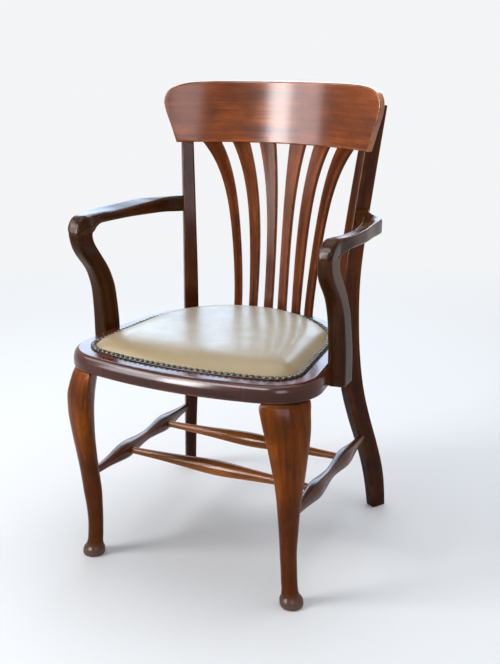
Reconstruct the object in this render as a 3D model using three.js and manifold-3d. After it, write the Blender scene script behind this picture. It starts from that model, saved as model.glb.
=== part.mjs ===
// Captains chair in polished mahogany with a close nailed leather seat.
// Millimetres, +Z up, the chair faces -Y. Places are measured from the centre of the seat's
// rounded back, on the floor; the last lines move the origin to the middle of the footprint.
import * as THREE from 'three';
import { mergeVertices } from 'three/addons/utils/BufferGeometryUtils.js';
import Module from 'manifold-3d';

const wasm = await Module();
wasm.setup();

const degree = Math.PI / 180;

// Clearance of a glued or seated joint
const gap = 0.3;

// Seat frame: plan of the outer edge
const seatTop = 443;
const seatBackRadius = 239;
const seatForward = 252;
const seatBowRadius = 783;
const seatCornerRadius = 92;
const seatSideFlare = 5 * degree;
const seatBackFacets = 9;
const seatCornerFacets = 7;
const seatBowFacets = 4;

// Seat frame: rail section, its moulded edge and the rebate for the upholstery
const railThickness = 32;
const railWidth = 70;
const railEase = 2.5;
const railBullnose = 10;
const railQuirk = 2;
const rebateInset = 47;
const rebateDepth = 4;
const frontJointReach = 140;
const backJointAngle = 17 * degree;
const bullnoseStepShares = [0.33, 0.67, 1];

// Dowels
const dowelRadius = 4.5;
const dowelSides = 8;
const railDowelHalf = 19;
const railDowelInset = 20;
const railDowelPitch = 26;
const railDowelDrop = 19;
const holeEnd = 1;

// Front legs: pad foot, thin ankle, knee and a block under each front corner
const footInset = 20;
const footSetback = 69;
const legTenonRadius = 12;
const legTenonHeight = 20;
const legPoints = 16;
const legBlock = 98;
// Height as a share of the leg, forward and outward shift of the section as shares of the block,
// width across and along the diagonal as shares of the block, and how round the section is
const legShares = [
  [0, 0, 0, 0.41, 0.41, 2],
  [0.012, 0, 0, 0.46, 0.46, 2],
  [0.032, 0, -0.01, 0.45, 0.44, 2],
  [0.055, 0, -0.03, 0.35, 0.35, 2],
  [0.09, -0.01, -0.05, 0.315, 0.315, 2],
  [0.17, -0.01, -0.07, 0.315, 0.31, 2],
  [0.26, 0.01, -0.08, 0.32, 0.33, 2],
  [0.36, 0.04, -0.07, 0.36, 0.37, 2],
  [0.46, 0.085, -0.055, 0.42, 0.375, 1.95],
  [0.56, 0.13, -0.035, 0.5, 0.4, 1.85],
  [0.67, 0.178, -0.02, 0.63, 0.45, 1.7],
  [0.77, 0.215, -0.022, 0.76, 0.505, 1.5],
  [0.86, 0.225, -0.045, 0.88, 0.54, 1.35],
  [0.93, 0.215, -0.085, 0.95, 0.56, 1.25],
  [0.98, 0.195, -0.115, 0.99, 0.58, 1.2],
  [1, 0.185, -0.135, 0.96, 0.56, 1.2],
];
const legOuterPower = 1.9;

// Back posts: one sabre shaped piece each, from the floor to behind the crest
const postTurn = 32.8 * degree;
const postPlace = 43.927 * degree;
const postStandoff = 6.338;
const postLap = 87.5;
const postSplay = 115;
const postWidth = 30;
const postDepth = 42;
const postArris = 3;
const postLevels = 15;
// Height, backward shift, width and depth as shares of the post's height, splay, width and depth
const postHeightShares = [0, 0.09, 0.155, 0.24, 0.33, 0.42, 0.53, 0.62, 0.69, 0.78, 0.9, 1];
const postShiftShares = [1, 0.895, 0.755, 0.52, 0.305, 0.178, 0.113, 0.127, 0.19, 0.298, 0.455, 0.59];
const postWidthShares = [0.83, 0.86, 0.88, 0.93, 0.97, 1, 1, 0.96, 0.92, 0.88, 0.84, 0.82];
const postDepthShares = [0.83, 0.95, 0.98, 1, 1, 1, 0.99, 0.96, 0.94, 0.93, 0.91, 0.88];

// Crest rail: a slab bent to a circle, leaning back a little
const crestBottom = 796.5;
const crestHeight = 126.5;
const crestEndInset = 2;
const crestFlattening = 111;
const crestSetback = 14;
const crestThickness = 20;
const crestEndSplay = 3;
const crestLean = 0.12;
const crestColumns = 12;
// Height and half width of the outline, as shares of the crest's height and half width
const crestOutlineShares = [
  [0, 0.903], [0.03, 0.908], [0.14, 0.925], [0.28, 0.946], [0.42, 0.97], [0.565, 0.991],
  [0.67, 1], [0.76, 0.995], [0.82, 0.983], [0.875, 0.96], [0.92, 0.92], [0.96, 0.86],
  [0.985, 0.77], [1, 0.6],
];

// Back slats: their front faces lie on a barrel surface between seat and crest
const slatFootInset = 15;
const slatFootFlattening = 15;
const slatSetback = 3;
const slatBow = 3.4;
const slatThickness = 12;
const slatArris = 2;
const slatSink = 10;
const slatLevels = 11;
const slatTopInset = 70;
// Inner and outer edge of the three slats of one half, from the side to the middle: place at the
// foot and flare to the crest as shares of the outermost reach, then the mix and power of the curve
const slatEdgeShares = [
  { inner: [0.443, 0.341, 0.65, 6.3], outer: [0.539, 0.461, 0.54, 5.9] },
  { inner: [0.246, 0.195, 0, 3.2], outer: [0.351, 0.299, 0.41, 4.85] },
  { inner: [0.04, 0.06, 0, 3.6], outer: [0.151, 0.159, 0, 3.5] },
];
const slatEasyPower = 1.5;

// Arms: shaped boards from the posts to a rounded knuckle, falling to their inner edge
const armTop = 684;
const armThickness = 34;
const armOverhang = 42;
const armForward = 154;
const armRound = 7;
const armStations = 13;
// Inner and outer edge in plan: sideways and forward places as shares of the reach and the run
const armInnerShares = [[0.744, -1.045], [0.783, -0.929], [0.809, -0.779], [0.829, -0.636], [0.847, -0.468],
  [0.863, -0.234], [0.874, 0], [0.877, 0.208], [0.888, 0.416], [0.884, 0.61], [0.854, 0.779]];
const armOuterShares = [[0.792, -1.18], [0.844, -1], [0.925, -0.8], [0.967, -0.69], [0.978, -0.545],
  [0.984, -0.3], [0.997, 0], [0.999, 0.195], [0.996, 0.468], [0.986, 0.636], [0.963, 0.779]];
// Along the arm, of half its thickness: how far the inner top edge falls, the underside rises
// and the inner lower edge leans towards the support
const armAlongShares = [0, 0.1, 0.2, 0.3, 0.4, 0.5, 0.6, 0.7, 0.8, 0.87, 0.93, 1];
const armFallShares = [0, 0.05, 0.15, 0.18, 0.22, 0.27, 0.26, 0.19, 0.11, 0.06, 0.02, 0];
const armRiseShares = [0, 0.04, 0.07, 0.09, 0.12, 0.17, 0.2, 0.24, 0.27, 0.21, 0.03, 0];
const armLeanShares = [0, 0, 0, 0, 0, 0, 0, 0.1, 0.35, 0.5, 0.48, 0.2];
// The knuckle's drop: forward place and height as shares of the last run and the thickness
const knuckleShares = [[0.3, 0.97], [0.55, 0.86], [0.76, 0.66], [0.93, 0.36], [1, 0.12]];
const knuckleNarrowing = 5;
const knucklePower = 5;
const knuckleToe = 3;

// Arm supports: S shaped, lapped over the side rail
const supportHousing = 1;
const supportWidth = 31;
const supportSkew = 5.5;
const supportTaper = 8.5;
const supportDrop = 9;
const supportRound = 6;
const supportLevels = 13;
// Height, front and rear edge as shares of the support's height and of the arm's forward place
const supportHeightShares = [0, 0.167, 0.3, 0.45, 0.54, 0.61, 0.69, 0.77, 0.85, 0.92, 1];
const supportFrontShares = [0.5, 0.506, 0.514, 0.542, 0.571, 0.614, 0.682, 0.792, 0.903, 0.961, 0.987];
const supportRearShares = [0.2, 0.205, 0.22, 0.262, 0.297, 0.342, 0.408, 0.502, 0.602, 0.664, 0.67];
// Width and turn of its section up the height
const supportWidthShares = [1.03, 1.02, 1, 0.96, 0.94, 0.92, 0.9, 0.89, 0.88, 0.87, 0.88];
const supportTurnShares = [1, 1, 1, 1.1, 1.15, 1.1, 1, 0.9, 0.72, 0.25, -0.3];

// Stretchers: two shaped ones from leg to post, two turned ones between them
const stretcherHeight = 180;
const stretcherSwell = 34;
const stretcherCrossSwell = 31;
const crossBack = 100;
const crossFront = -56;
const stretcherInset = 3;
const crossInset = 2;
const stretcherSides = 10;
// Place along the stretcher and its thickness as shares of the length and of the swelling
const sideStretcherShares = [
  [0, 0.42], [0.07, 0.47], [0.16, 0.62], [0.24, 0.86], [0.31, 1], [0.38, 0.86], [0.46, 0.66],
  [0.5, 0.62], [0.54, 0.66], [0.62, 0.86], [0.69, 1], [0.76, 0.86], [0.84, 0.62], [0.93, 0.47],
  [1, 0.42],
];
const sideStretcherWidthShare = 0.78;
const sideStretcherPower = 3.2;
const crossStretcherShares = [
  [0, 0.42], [0.05, 0.46], [0.2, 0.6], [0.36, 0.83], [0.44, 0.96], [0.5, 1], [0.56, 0.96],
  [0.64, 0.83], [0.8, 0.6], [0.95, 0.46], [1, 0.42],
];

// Upholstery: leather over stuffing, hessian and webbing, close nailed round the edge
const leatherInset = 33;
const leatherThickness = 2;
const leatherFlat = 11.6;
const leatherCrown = 22;
const crownPower = 8;
const crownForward = 8;
const leatherEdgeShares = [0, 1];
const leatherRiseShares = [1.42, 2, 2.9];
const crownScaleShares = [0.8, 0.55, 0.28];
const nailInset = 38.5;
const nailRadius = 5.2;
const nailHeight = 3.4;
const nailPitch = 11.5;
const nailSectionShares = [[-1, 0], [-0.6, 0.85], [0.6, 0.85], [1, 0]];
const nailNeckShare = 0.4;
const webbingWidth = 50;
const webbingThickness = 1.6;
const webbingPitch = 76;
const webbingEase = 4;
const webbingInset = 50;
const webbingShares = [-1.5, -0.5, 0.5, 1.5];
const hessianThickness = 1;
const hessianInset = 48;

// Hidden dowels: how far each runs to either side of its joint
const postDowelIn = 28;
const postDowelOut = 16;
const postDowelRise = 8;
const supportDowelIn = 18;
const supportDowelOut = 12;
const supportDowelPlaces = [45, 65];
const armTenonLength = 14;
const supportTenonLength = 13;
const supportTenonForward = 135;
const crestDowelIn = 11;
const crestDowelOut = 13;
const crestDowelHeights = [24, 62];

// Places that follow the seat
const railBottom = seatTop - railThickness;
const footSpread = seatBackRadius - footInset;
const footForward = seatForward - footSetback;
const postReach = seatBackRadius + postStandoff;
const postHeight = crestBottom + postLap;
const crestHalf = seatBackRadius - crestEndInset;
const crestRadius = seatBackRadius + crestFlattening;
const crestFrontBack = seatBackRadius + crestSetback;
const slatFootBack = seatBackRadius - slatFootInset;
const slatFootRadius = seatBackRadius + slatFootFlattening;
const slatTopReach = crestHalf - slatTopInset;
const armBottom = armTop - armThickness;
const armReach = seatBackRadius + armOverhang;
const supportInner = seatBackRadius - supportHousing;

const outward = new THREE.Vector3(Math.cos(postTurn), -Math.sin(postTurn), 0);
const backward = new THREE.Vector3(Math.sin(postTurn), Math.cos(postTurn), 0);
const up = new THREE.Vector3(0, 0, 1);
const axisX = new THREE.Vector3(1, 0, 0);
const axisY = new THREE.Vector3(0, 1, 0);

// Meshes, joining and cutting

function signedVolume(points, faces) {
  let sum = 0;
  for (let i = 0; i < faces.length; i += 3) {
    const [a, b, c] = [points[faces[i]], points[faces[i + 1]], points[faces[i + 2]]];
    sum += a.dot(b.clone().cross(c));
  }
  return sum;
}

function closedGeometry(points, faces) {
  if (signedVolume(points, faces) < 0) {
    for (let i = 0; i < faces.length; i += 3) {
      [faces[i], faces[i + 1]] = [faces[i + 1], faces[i]];
    }
  }
  const geometry = new THREE.BufferGeometry();
  geometry.setAttribute('position', new THREE.Float32BufferAttribute(points.flatMap((p) => p.toArray()), 3));
  geometry.setIndex(faces);
  return geometry;
}

function ringFaces(first, second, count) {
  const faces = [];
  for (let i = 0; i < count; i += 1) {
    const next = (i + 1) % count;
    faces.push(first + i, first + next, second + next);
    faces.push(first + i, second + next, second + i);
  }
  return faces;
}

function capFaces(first, count, centre, reverse) {
  const faces = [];
  for (let i = 0; i < count; i += 1) {
    const next = (i + 1) % count;
    faces.push(centre, first + (reverse ? next : i), first + (reverse ? i : next));
  }
  return faces;
}

function centroid(ring) {
  const sum = new THREE.Vector3();
  ring.forEach((p) => sum.add(p));
  return sum.divideScalar(ring.length);
}

// A closed solid through sections that all have the same number of points
function loft(rings) {
  const count = rings[0].length;
  const points = rings.flat();
  const faces = [];
  for (let i = 0; i + 1 < rings.length; i += 1) {
    faces.push(...ringFaces(i * count, (i + 1) * count, count));
  }
  const last = (rings.length - 1) * count;
  points.push(centroid(rings[0]), centroid(rings[rings.length - 1]));
  faces.push(...capFaces(0, count, points.length - 2, true));
  faces.push(...capFaces(last, count, points.length - 1, false));
  return closedGeometry(points, faces);
}

// The same for a row of sections that closes on itself
function closedLoft(rings) {
  const count = rings[0].length;
  const faces = rings.flatMap((ring, i) => (
    ringFaces(i * count, ((i + 1) % rings.length) * count, count)));
  return closedGeometry(rings.flat(), faces);
}

function solidOf(geometry) {
  const merged = tidied(geometry);
  return new wasm.Manifold(new wasm.Mesh({
    numProp: 3,
    vertProperties: Float32Array.from(merged.attributes.position.array),
    triVerts: Uint32Array.from(merged.index.array),
  }));
}

function geometryOf(solid) {
  const mesh = solid.getMesh();
  const geometry = new THREE.BufferGeometry();
  geometry.setAttribute('position', new THREE.Float32BufferAttribute(Array.from(mesh.vertProperties), 3));
  geometry.setIndex(Array.from(mesh.triVerts));
  return geometry;
}

function cut(geometry, voids) {
  let solid = solidOf(geometry);
  voids.forEach((hole) => {
    solid = solid.subtract(solidOf(hole));
  });
  return geometryOf(solid);
}

function joined(first, second) {
  return geometryOf(solidOf(first).add(solidOf(second)));
}

function trimmed(geometry, keep) {
  return geometryOf(solidOf(geometry).intersect(solidOf(keep)));
}

// Only places and faces, with shared corners merged
function tidied(geometry) {
  const bare = geometry.clone();
  bare.deleteAttribute('normal');
  bare.deleteAttribute('uv');
  return mergeVertices(bare);
}

function mirrored(geometry) {
  const copy = geometry.clone().scale(-1, 1, 1);
  const faces = Array.from(copy.index.array);
  for (let i = 0; i < faces.length; i += 3) {
    [faces[i], faces[i + 1]] = [faces[i + 1], faces[i]];
  }
  copy.setIndex(faces);
  return copy;
}

// A straight dowel, or with grow its hole, along an axis from a point
function dowel(at, axis, back, ahead, grow) {
  const radius = dowelRadius + grow;
  const length = back + ahead + (grow > 0 ? 2 * holeEnd : 0);
  const rod = new THREE.CylinderGeometry(radius, radius, length, dowelSides);
  const turn = new THREE.Quaternion().setFromUnitVectors(new THREE.Vector3(0, 1, 0), axis);
  rod.applyQuaternion(turn);
  const middle = at.clone().addScaledVector(axis, (ahead - back) / 2);
  return rod.translate(middle.x, middle.y, middle.z);
}

// Curves and sections

// Natural cubic through points of a graph
function spline(knots, values) {
  const last = knots.length - 1;
  const second = new Array(knots.length).fill(0);
  const work = new Array(knots.length).fill(0);
  for (let i = 1; i < last; i += 1) {
    const span = knots[i + 1] - knots[i - 1];
    const share = (knots[i] - knots[i - 1]) / span;
    const ahead = (values[i + 1] - values[i]) / (knots[i + 1] - knots[i]);
    const behind = (values[i] - values[i - 1]) / (knots[i] - knots[i - 1]);
    const pivot = share * second[i - 1] + 2;
    second[i] = (share - 1) / pivot;
    work[i] = ((6 * (ahead - behind)) / span - share * work[i - 1]) / pivot;
  }
  for (let i = last - 1; i > 0; i -= 1) {
    second[i] = second[i] * second[i + 1] + work[i];
  }
  return (t) => {
    let i = 0;
    while (i < last - 1 && t > knots[i + 1]) i += 1;
    const width = knots[i + 1] - knots[i];
    const a = (knots[i + 1] - t) / width;
    const b = 1 - a;
    const bend = ((a ** 3 - a) * second[i] + (b ** 3 - b) * second[i + 1]) * width ** 2;
    return a * values[i] + b * values[i + 1] + bend / 6;
  };
}

function steps(count, from = 0, to = 1) {
  return Array.from({ length: count + 1 }, (_, i) => from + ((to - from) * i) / count);
}

// Signed power, which turns a circle into a squarer or sharper oval
function bulged(value, power) {
  return Math.sign(value) * Math.abs(value) ** (2 / power);
}

// A rectangle with two points at each eased corner
function easedRing(centre, axisU, axisV, halfU, halfV, ease) {
  const corners = [[1, 1, 1], [-1, 1, 0], [-1, -1, 1], [1, -1, 0]];
  const place = (u, v) => centre.clone().addScaledVector(axisU, u).addScaledVector(axisV, v);
  return corners.flatMap(([u, v, sideFirst]) => {
    const nearU = place(u * halfU, v * (halfV - ease));
    const nearV = place(u * (halfU - ease), v * halfV);
    return sideFirst ? [nearU, nearV] : [nearV, nearU];
  });
}

// A rectangle with three points at each rounded corner
function roundRing(centre, axisU, axisV, halfU, halfV, radius) {
  const turns = [0, 1, 2, 3];
  const share = Math.SQRT1_2;
  return turns.flatMap((turn) => {
    const u = turn === 0 || turn === 3 ? 1 : -1;
    const v = turn < 2 ? 1 : -1;
    const corner = [[1, 0], [share, share], [0, 1]];
    if (turn % 2) corner.reverse();
    return corner.map(([a, b]) => centre.clone()
      .addScaledVector(axisU, u * (halfU - radius + radius * a))
      .addScaledVector(axisV, v * (halfV - radius + radius * b)));
  });
}

function ovalRing(centre, axisU, axisV, halfU, halfV, power, count) {
  return steps(count).slice(0, count).map((share) => {
    const angle = share * 2 * Math.PI;
    return centre.clone()
      .addScaledVector(axisU, halfU * bulged(Math.cos(angle), power))
      .addScaledVector(axisV, halfV * bulged(Math.sin(angle), power));
  });
}

// Seat plan: three arcs joined by straight sides, each station an arc's centre, radius and angle

function seatPlan() {
  const side = new THREE.Vector2(Math.cos(seatSideFlare), Math.sin(seatSideFlare));
  const forward = new THREE.Vector2(side.y, -side.x);
  const bowCentre = new THREE.Vector2(0, seatBowRadius - seatForward);
  const start = side.multiplyScalar(seatBackRadius - seatCornerRadius);
  const fromBow = start.clone().sub(bowCentre);
  const reach = seatBowRadius - seatCornerRadius;
  const along = forward.dot(fromBow);
  const run = Math.sqrt(along ** 2 - fromBow.lengthSq() + reach ** 2) - along;
  const cornerCentre = start.addScaledVector(forward, run);
  const toCorner = cornerCentre.clone().sub(bowCentre);
  return {
    back: { centre: new THREE.Vector2(0, 0), radius: seatBackRadius },
    corner: { centre: cornerCentre, radius: seatCornerRadius },
    bow: { centre: bowCentre, radius: seatBowRadius },
    bowAngle: Math.atan2(toCorner.y, toCorner.x),
  };
}

const plan = seatPlan();

function arc(kind, from, to, facets) {
  return steps(facets, from, to).map((angle) => ({ ...plan[kind], angle }));
}

function rimPoint(station, inset, z) {
  const reach = station.radius - inset;
  const x = station.centre.x + reach * Math.cos(station.angle);
  const y = station.centre.y + reach * Math.sin(station.angle);
  return new THREE.Vector3(x, y, z);
}

function otherSide(station) {
  const centre = new THREE.Vector2(-station.centre.x, station.centre.y);
  return { ...station, centre, angle: Math.PI - station.angle };
}

const halfRim = [
  ...arc('back', Math.PI / 2, seatSideFlare, seatBackFacets),
  ...arc('corner', seatSideFlare, plan.bowAngle, seatCornerFacets),
  ...arc('bow', plan.bowAngle, -Math.PI / 2, seatBowFacets).slice(1),
];
const wholeRim = [...halfRim, ...halfRim.slice(1, -1).reverse().map(otherSide)];

// The edge at a given height above the rail's underside is rounded up to a quirk under the top
function railProfile(grow) {
  const roundTop = railThickness - railQuirk;
  const round = bullnoseStepShares.map((share) => {
    const angle = share * Math.PI / 2;
    return [railBullnose * (1 - Math.cos(angle)) - grow * Math.cos(angle),
      roundTop - railBullnose + (railBullnose + grow) * Math.sin(angle)];
  });
  return [
    [-grow, roundTop - railBullnose],
    ...round,
    [railBullnose, railThickness + grow],
  ];
}

function railRings(stations) {
  const section = [
    [railEase, 0],
    [0, railEase],
    ...railProfile(0),
    [rebateInset, railThickness],
    [rebateInset, railThickness - rebateDepth],
    [railWidth, railThickness - rebateDepth],
    [railWidth, 0],
  ];
  return stations.map((station) => section.map(([inset, height]) => (
    rimPoint(station, inset, railBottom + height))));
}

// What a piece lapped over the rail has cut out of it, down to some depth under the rail
function railVoid(stations, under) {
  const top = railThickness + gap;
  const section = [[-gap, -under], ...railProfile(gap), [railWidth, top], [railWidth, -under]];
  return loft(stations.map((station) => section.map(([inset, height]) => (
    rimPoint(station, inset, railBottom + height)))));
}

// Back posts

const postShift = spline(postHeightShares, postShiftShares);
const postWide = spline(postHeightShares, postWidthShares);
const postDeep = spline(postHeightShares, postDepthShares);

function postCentre(z) {
  const shift = postSplay * postShift(z / postHeight);
  const [side, back] = [postReach * Math.cos(postPlace), postReach * Math.sin(postPlace)];
  return new THREE.Vector3(side, back, z).addScaledVector(backward, shift);
}

function postHalfWidth(z) {
  return (postWidth * postWide(z / postHeight)) / 2;
}

function postHalfDepth(z) {
  return (postDepth * postDeep(z / postHeight)) / 2;
}

function postBody() {
  return loft(steps(postLevels, 0, postHeight).map((z) => (
    easedRing(postCentre(z), outward, backward, postHalfWidth(z), postHalfDepth(z), postArris))));
}

// Crest rail and slats

const crestAxisBack = crestFrontBack - crestRadius;

function crestPlace(side, z, behind) {
  const reach = crestRadius + behind;
  const lean = crestLean * (z - crestBottom);
  return new THREE.Vector3(side, crestAxisBack + lean + Math.sqrt(reach ** 2 - side ** 2), z);
}

function crestBody() {
  return loft(crestOutlineShares.map(([heightShare, halfShare]) => {
    const z = crestBottom + crestHeight * heightShare;
    const sides = steps(crestColumns, -1).map((share) => share * crestHalf * halfShare);
    const front = sides.map((side) => crestPlace(side, z, 0));
    const splay = 1 + (crestEndSplay * halfShare) / crestHalf;
    const back = sides.reverse().map((side) => crestPlace(side * splay, z, crestThickness));
    return [...front, ...back];
  }));
}

// The lap in each post's front, as wide as the post and open upwards
function crestLap() {
  const span = crestHalf + crestThickness;
  return loft([crestBottom - gap, crestBottom + 2 * crestHeight].map((z) => {
    const sides = steps(crestColumns, crestHalf / 2, span);
    const front = sides.map((side) => crestPlace(side, z, -2 * crestThickness));
    const back = sides.reverse().map((side) => crestPlace(side, z, crestThickness + gap));
    return [...front, ...back];
  }));
}

function slatEdge([foot, flare, mix, power], share) {
  const rise = Math.max(share, 0);
  return slatTopReach * (foot + flare * (mix * rise ** slatEasyPower + (1 - mix) * rise ** power));
}

// A point on or behind the barrel surface that the slats' front faces lie on
function barrelPlace(side, z, behind) {
  const share = (z - seatTop) / (crestBottom - seatTop);
  const topRadius = crestRadius + slatSetback;
  const radius = slatFootRadius + (topRadius - slatFootRadius) * share;
  const topBack = crestFrontBack + slatSetback;
  const bow = slatBow * 4 * share * (1 - share);
  const middle = slatFootBack + (topBack - slatFootBack) * share + bow;
  const angle = Math.asin(side / radius);
  const reach = radius + behind;
  return new THREE.Vector3(reach * Math.sin(angle), middle - radius + reach * Math.cos(angle), z);
}

function slatBody(edges, grow) {
  const bottom = seatTop - slatSink - grow;
  const top = crestBottom + slatSink + grow;
  return loft(steps(slatLevels, bottom, top).map((z) => {
    const share = (z - seatTop) / (crestBottom - seatTop);
    const inner = slatEdge(edges.inner, share) - grow;
    const outer = slatEdge(edges.outer, share) + grow;
    const [front, back] = [-grow, slatThickness + grow];
    return [
      [inner + slatArris, front], [outer - slatArris, front], [outer, front + slatArris],
      [outer, back - slatArris], [outer - slatArris, back], [inner + slatArris, back],
      [inner, back - slatArris], [inner, front + slatArris],
    ].map(([side, behind]) => barrelPlace(side, z, behind));
  }));
}

// Arms and their supports

function armEdge(shares) {
  const places = shares.map(([side, forward]) => (
    new THREE.Vector2(side * armReach, -forward * armForward)));
  return new THREE.SplineCurve(places);
}

const armFall = spline(armAlongShares, armFallShares);
const armRise = spline(armAlongShares, armRiseShares);
const armLean = spline(armAlongShares, armLeanShares);

// A ring of the arm with its inner top edge let down, its underside raised and its inner lower
// edge leant inwards
function armRing(centre, across, wide, share) {
  const half = armThickness / 2;
  const fall = half * Math.max(armFall(share), 0);
  const rise = half * Math.max(armRise(share), 0);
  const lean = half * Math.max(armLean(share), 0);
  return roundRing(centre, across, up, wide, half, armRound).map((point) => {
    const from = point.clone().sub(centre);
    const inward = 1 - from.dot(across) / wide;
    const high = 1 + from.z / half;
    const move = rise * (2 - high) - (fall * inward * high) / 2;
    const aside = (lean * inward * (2 - high)) / 4;
    return point.addScaledVector(up, move).addScaledVector(across, -aside);
  });
}

function armBody() {
  const middle = (armTop + armBottom) / 2;
  const joint = postCentre(middle).addScaledVector(outward, postHalfWidth(middle) + gap);
  const deep = postHalfDepth(middle) - postArris;
  const rings = [armRing(joint, backward, deep, 0)];
  const [inner, outer] = [armEdge(armInnerShares), armEdge(armOuterShares)];
  steps(armStations).slice(1).forEach((share) => {
    const [near, far] = [inner.getPoint(share), outer.getPoint(share)];
    const centre = new THREE.Vector3((near.x + far.x) / 2, (near.y + far.y) / 2, middle);
    const across = new THREE.Vector3(far.x - near.x, far.y - near.y, 0);
    rings.push(armRing(centre, across.clone().normalize(), across.length() / 2, share));
  });
  const [lastInner, lastOuter] = [inner.getPoint(1), outer.getPoint(1)];
  const run = armForward + lastInner.y;
  knuckleShares.forEach(([forward, high]) => {
    const height = (armThickness * high) / 2;
    const x = (lastInner.x + lastOuter.x) / 2 - knuckleToe * forward;
    const centre = new THREE.Vector3(x, lastInner.y - run * forward, armBottom + height);
    const wide = (lastOuter.x - lastInner.x) / 2 - knuckleNarrowing * forward ** knucklePower;
    rings.push(roundRing(centre, axisX, up, wide, height, Math.min(armRound, height / 2)));
  });
  return loft(rings);
}

const supportBottom = railBottom - supportDrop;
const supportTop = armBottom - gap;
const supportFront = spline(supportHeightShares, supportFrontShares);
const supportRear = spline(supportHeightShares, supportRearShares);

const supportWide = spline(supportHeightShares, supportWidthShares);
const supportTurn = spline(supportHeightShares, supportTurnShares);

// The section's front and rear run back to the outer side, and its inner side runs inwards
function supportBody() {
  return loft(steps(supportLevels, supportBottom, supportTop).map((z) => {
    const share = (z - supportBottom) / (supportTop - supportBottom);
    const front = -armForward * supportFront(share);
    const deep = (-armForward * supportRear(share) - front) / 2;
    const wide = (supportWidth * supportWide(share)) / 2;
    const turn = supportTurn(share);
    const centre = new THREE.Vector3(supportInner + wide, front + deep, z);
    return roundRing(centre, axisX, axisY, wide, deep, supportRound).map((point) => {
      const side = (point.x - centre.x) / wide;
      const back = 1 + (point.y - centre.y) / deep;
      const inwards = (supportTaper * turn * (1 - side) * back) / 4;
      const backwards = (supportSkew * turn * side) / 2;
      return point.addScaledVector(axisX, -inwards).addScaledVector(axisY, backwards);
    });
  }));
}

// Front legs

const legTop = railBottom - gap;
const diagonal = new THREE.Vector3(Math.SQRT1_2, -Math.SQRT1_2, 0);
const crossways = new THREE.Vector3(Math.SQRT1_2, Math.SQRT1_2, 0);

function legRing([high, forward, aside, wide, deep, power]) {
  const centre = new THREE.Vector3(
    footSpread + legBlock * aside, -footForward - legBlock * forward, legTop * high);
  return steps(legPoints).slice(0, legPoints).map((share) => {
    const angle = share * 2 * Math.PI;
    const outerPower = Math.max(power, legOuterPower);
    const ahead = bulged(Math.cos(angle), Math.cos(angle) > 0 ? outerPower : power);
    const aslant = bulged(Math.sin(angle), power);
    return centre.clone()
      .addScaledVector(diagonal, (ahead * legBlock * deep) / 2)
      .addScaledVector(crossways, (aslant * legBlock * wide) / 2);
  });
}

function legTenon(grow) {
  const last = legShares[legShares.length - 1];
  const x = footSpread + legBlock * last[2];
  const y = -footForward - legBlock * last[1];
  const height = legTenonHeight + grow;
  const radius = legTenonRadius + grow;
  const peg = new THREE.CylinderGeometry(radius, radius, height + holeEnd, legPoints);
  return peg.rotateX(Math.PI / 2).translate(x, y, legTop + (height - holeEnd) / 2);
}

// Stretchers

function legCentreAt(z) {
  const share = z / legTop;
  const after = legShares.findIndex((row) => row[0] > share);
  const [low, high] = [legShares[after - 1], legShares[after]];
  const mix = (share - low[0]) / (high[0] - low[0]);
  const at = (column) => low[column] + (high[column] - low[column]) * mix;
  return new THREE.Vector3(footSpread + legBlock * at(2), -footForward - legBlock * at(1), z);
}

function sideStretcherBody(grow) {
  const front = legCentreAt(stretcherHeight);
  const back = postCentre(stretcherHeight);
  const axis = back.clone().sub(front).normalize();
  const across = new THREE.Vector3().crossVectors(axis, up);
  const start = front.clone().addScaledVector(axis, stretcherInset - grow);
  const end = back.clone().addScaledVector(axis, grow - stretcherInset);
  return loft(sideStretcherShares.map(([along, thick]) => {
    const half = (stretcherSwell * thick) / 2;
    const wide = half * sideStretcherWidthShare + (1 - sideStretcherWidthShare) * (half / 2);
    return ovalRing(start.clone().lerp(end, along), across, up, wide + grow, half + grow,
      sideStretcherPower, stretcherSides);
  }));
}

// Where the side stretchers' middle line passes a cross stretcher
function sideLineX(y) {
  const front = legCentreAt(stretcherHeight);
  const back = postCentre(stretcherHeight);
  return front.x + ((back.x - front.x) * (y - front.y)) / (back.y - front.y);
}

function crossStretcherBody(y, grow) {
  const half = sideLineX(y) - crossInset + grow;
  return loft(crossStretcherShares.map(([along, thick]) => {
    const centre = new THREE.Vector3(half * (2 * along - 1), y, stretcherHeight);
    const radius = (stretcherCrossSwell * thick) / 2 + grow;
    return ovalRing(centre, axisY, up, radius, radius, 2, stretcherSides);
  }));
}

// Dowels of the frame joints, or with grow their holes

function tangentDowel(kind, angle, grow) {
  return [0, 1].map((row) => {
    const station = { ...plan[kind], angle };
    const inset = railDowelInset + railDowelPitch * row;
    const at = rimPoint(station, inset, seatTop - railDowelDrop);
    const axis = new THREE.Vector3(-Math.sin(angle), Math.cos(angle), 0);
    return dowel(at, axis, railDowelHalf, railDowelHalf, grow);
  });
}

// Distance back along a direction from a point to an upright cylinder round the middle plane
function distanceToRound(point, direction, axisBack, radius) {
  const from = new THREE.Vector2(point.x, point.y - axisBack);
  const along = from.x * direction.x + from.y * direction.y;
  return along - Math.sqrt(along ** 2 - from.lengthSq() + radius ** 2);
}

function postDowels(grow) {
  return [-1, 1].map((side) => {
    const centre = postCentre(seatTop - railThickness / 2 + side * postDowelRise);
    const back = distanceToRound(centre, backward, 0, seatBackRadius);
    const at = centre.clone().addScaledVector(backward, -back);
    return dowel(at, backward, postDowelIn, postDowelOut, grow);
  });
}

function crestDowels(grow) {
  return crestDowelHeights.map((height) => {
    const centre = postCentre(crestBottom + height);
    const axisBack = crestAxisBack + crestLean * height;
    const back = distanceToRound(centre, backward, axisBack, crestRadius + crestThickness);
    const at = centre.clone().addScaledVector(backward, -back);
    return dowel(at, backward, crestDowelIn, crestDowelOut, grow);
  });
}

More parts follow.
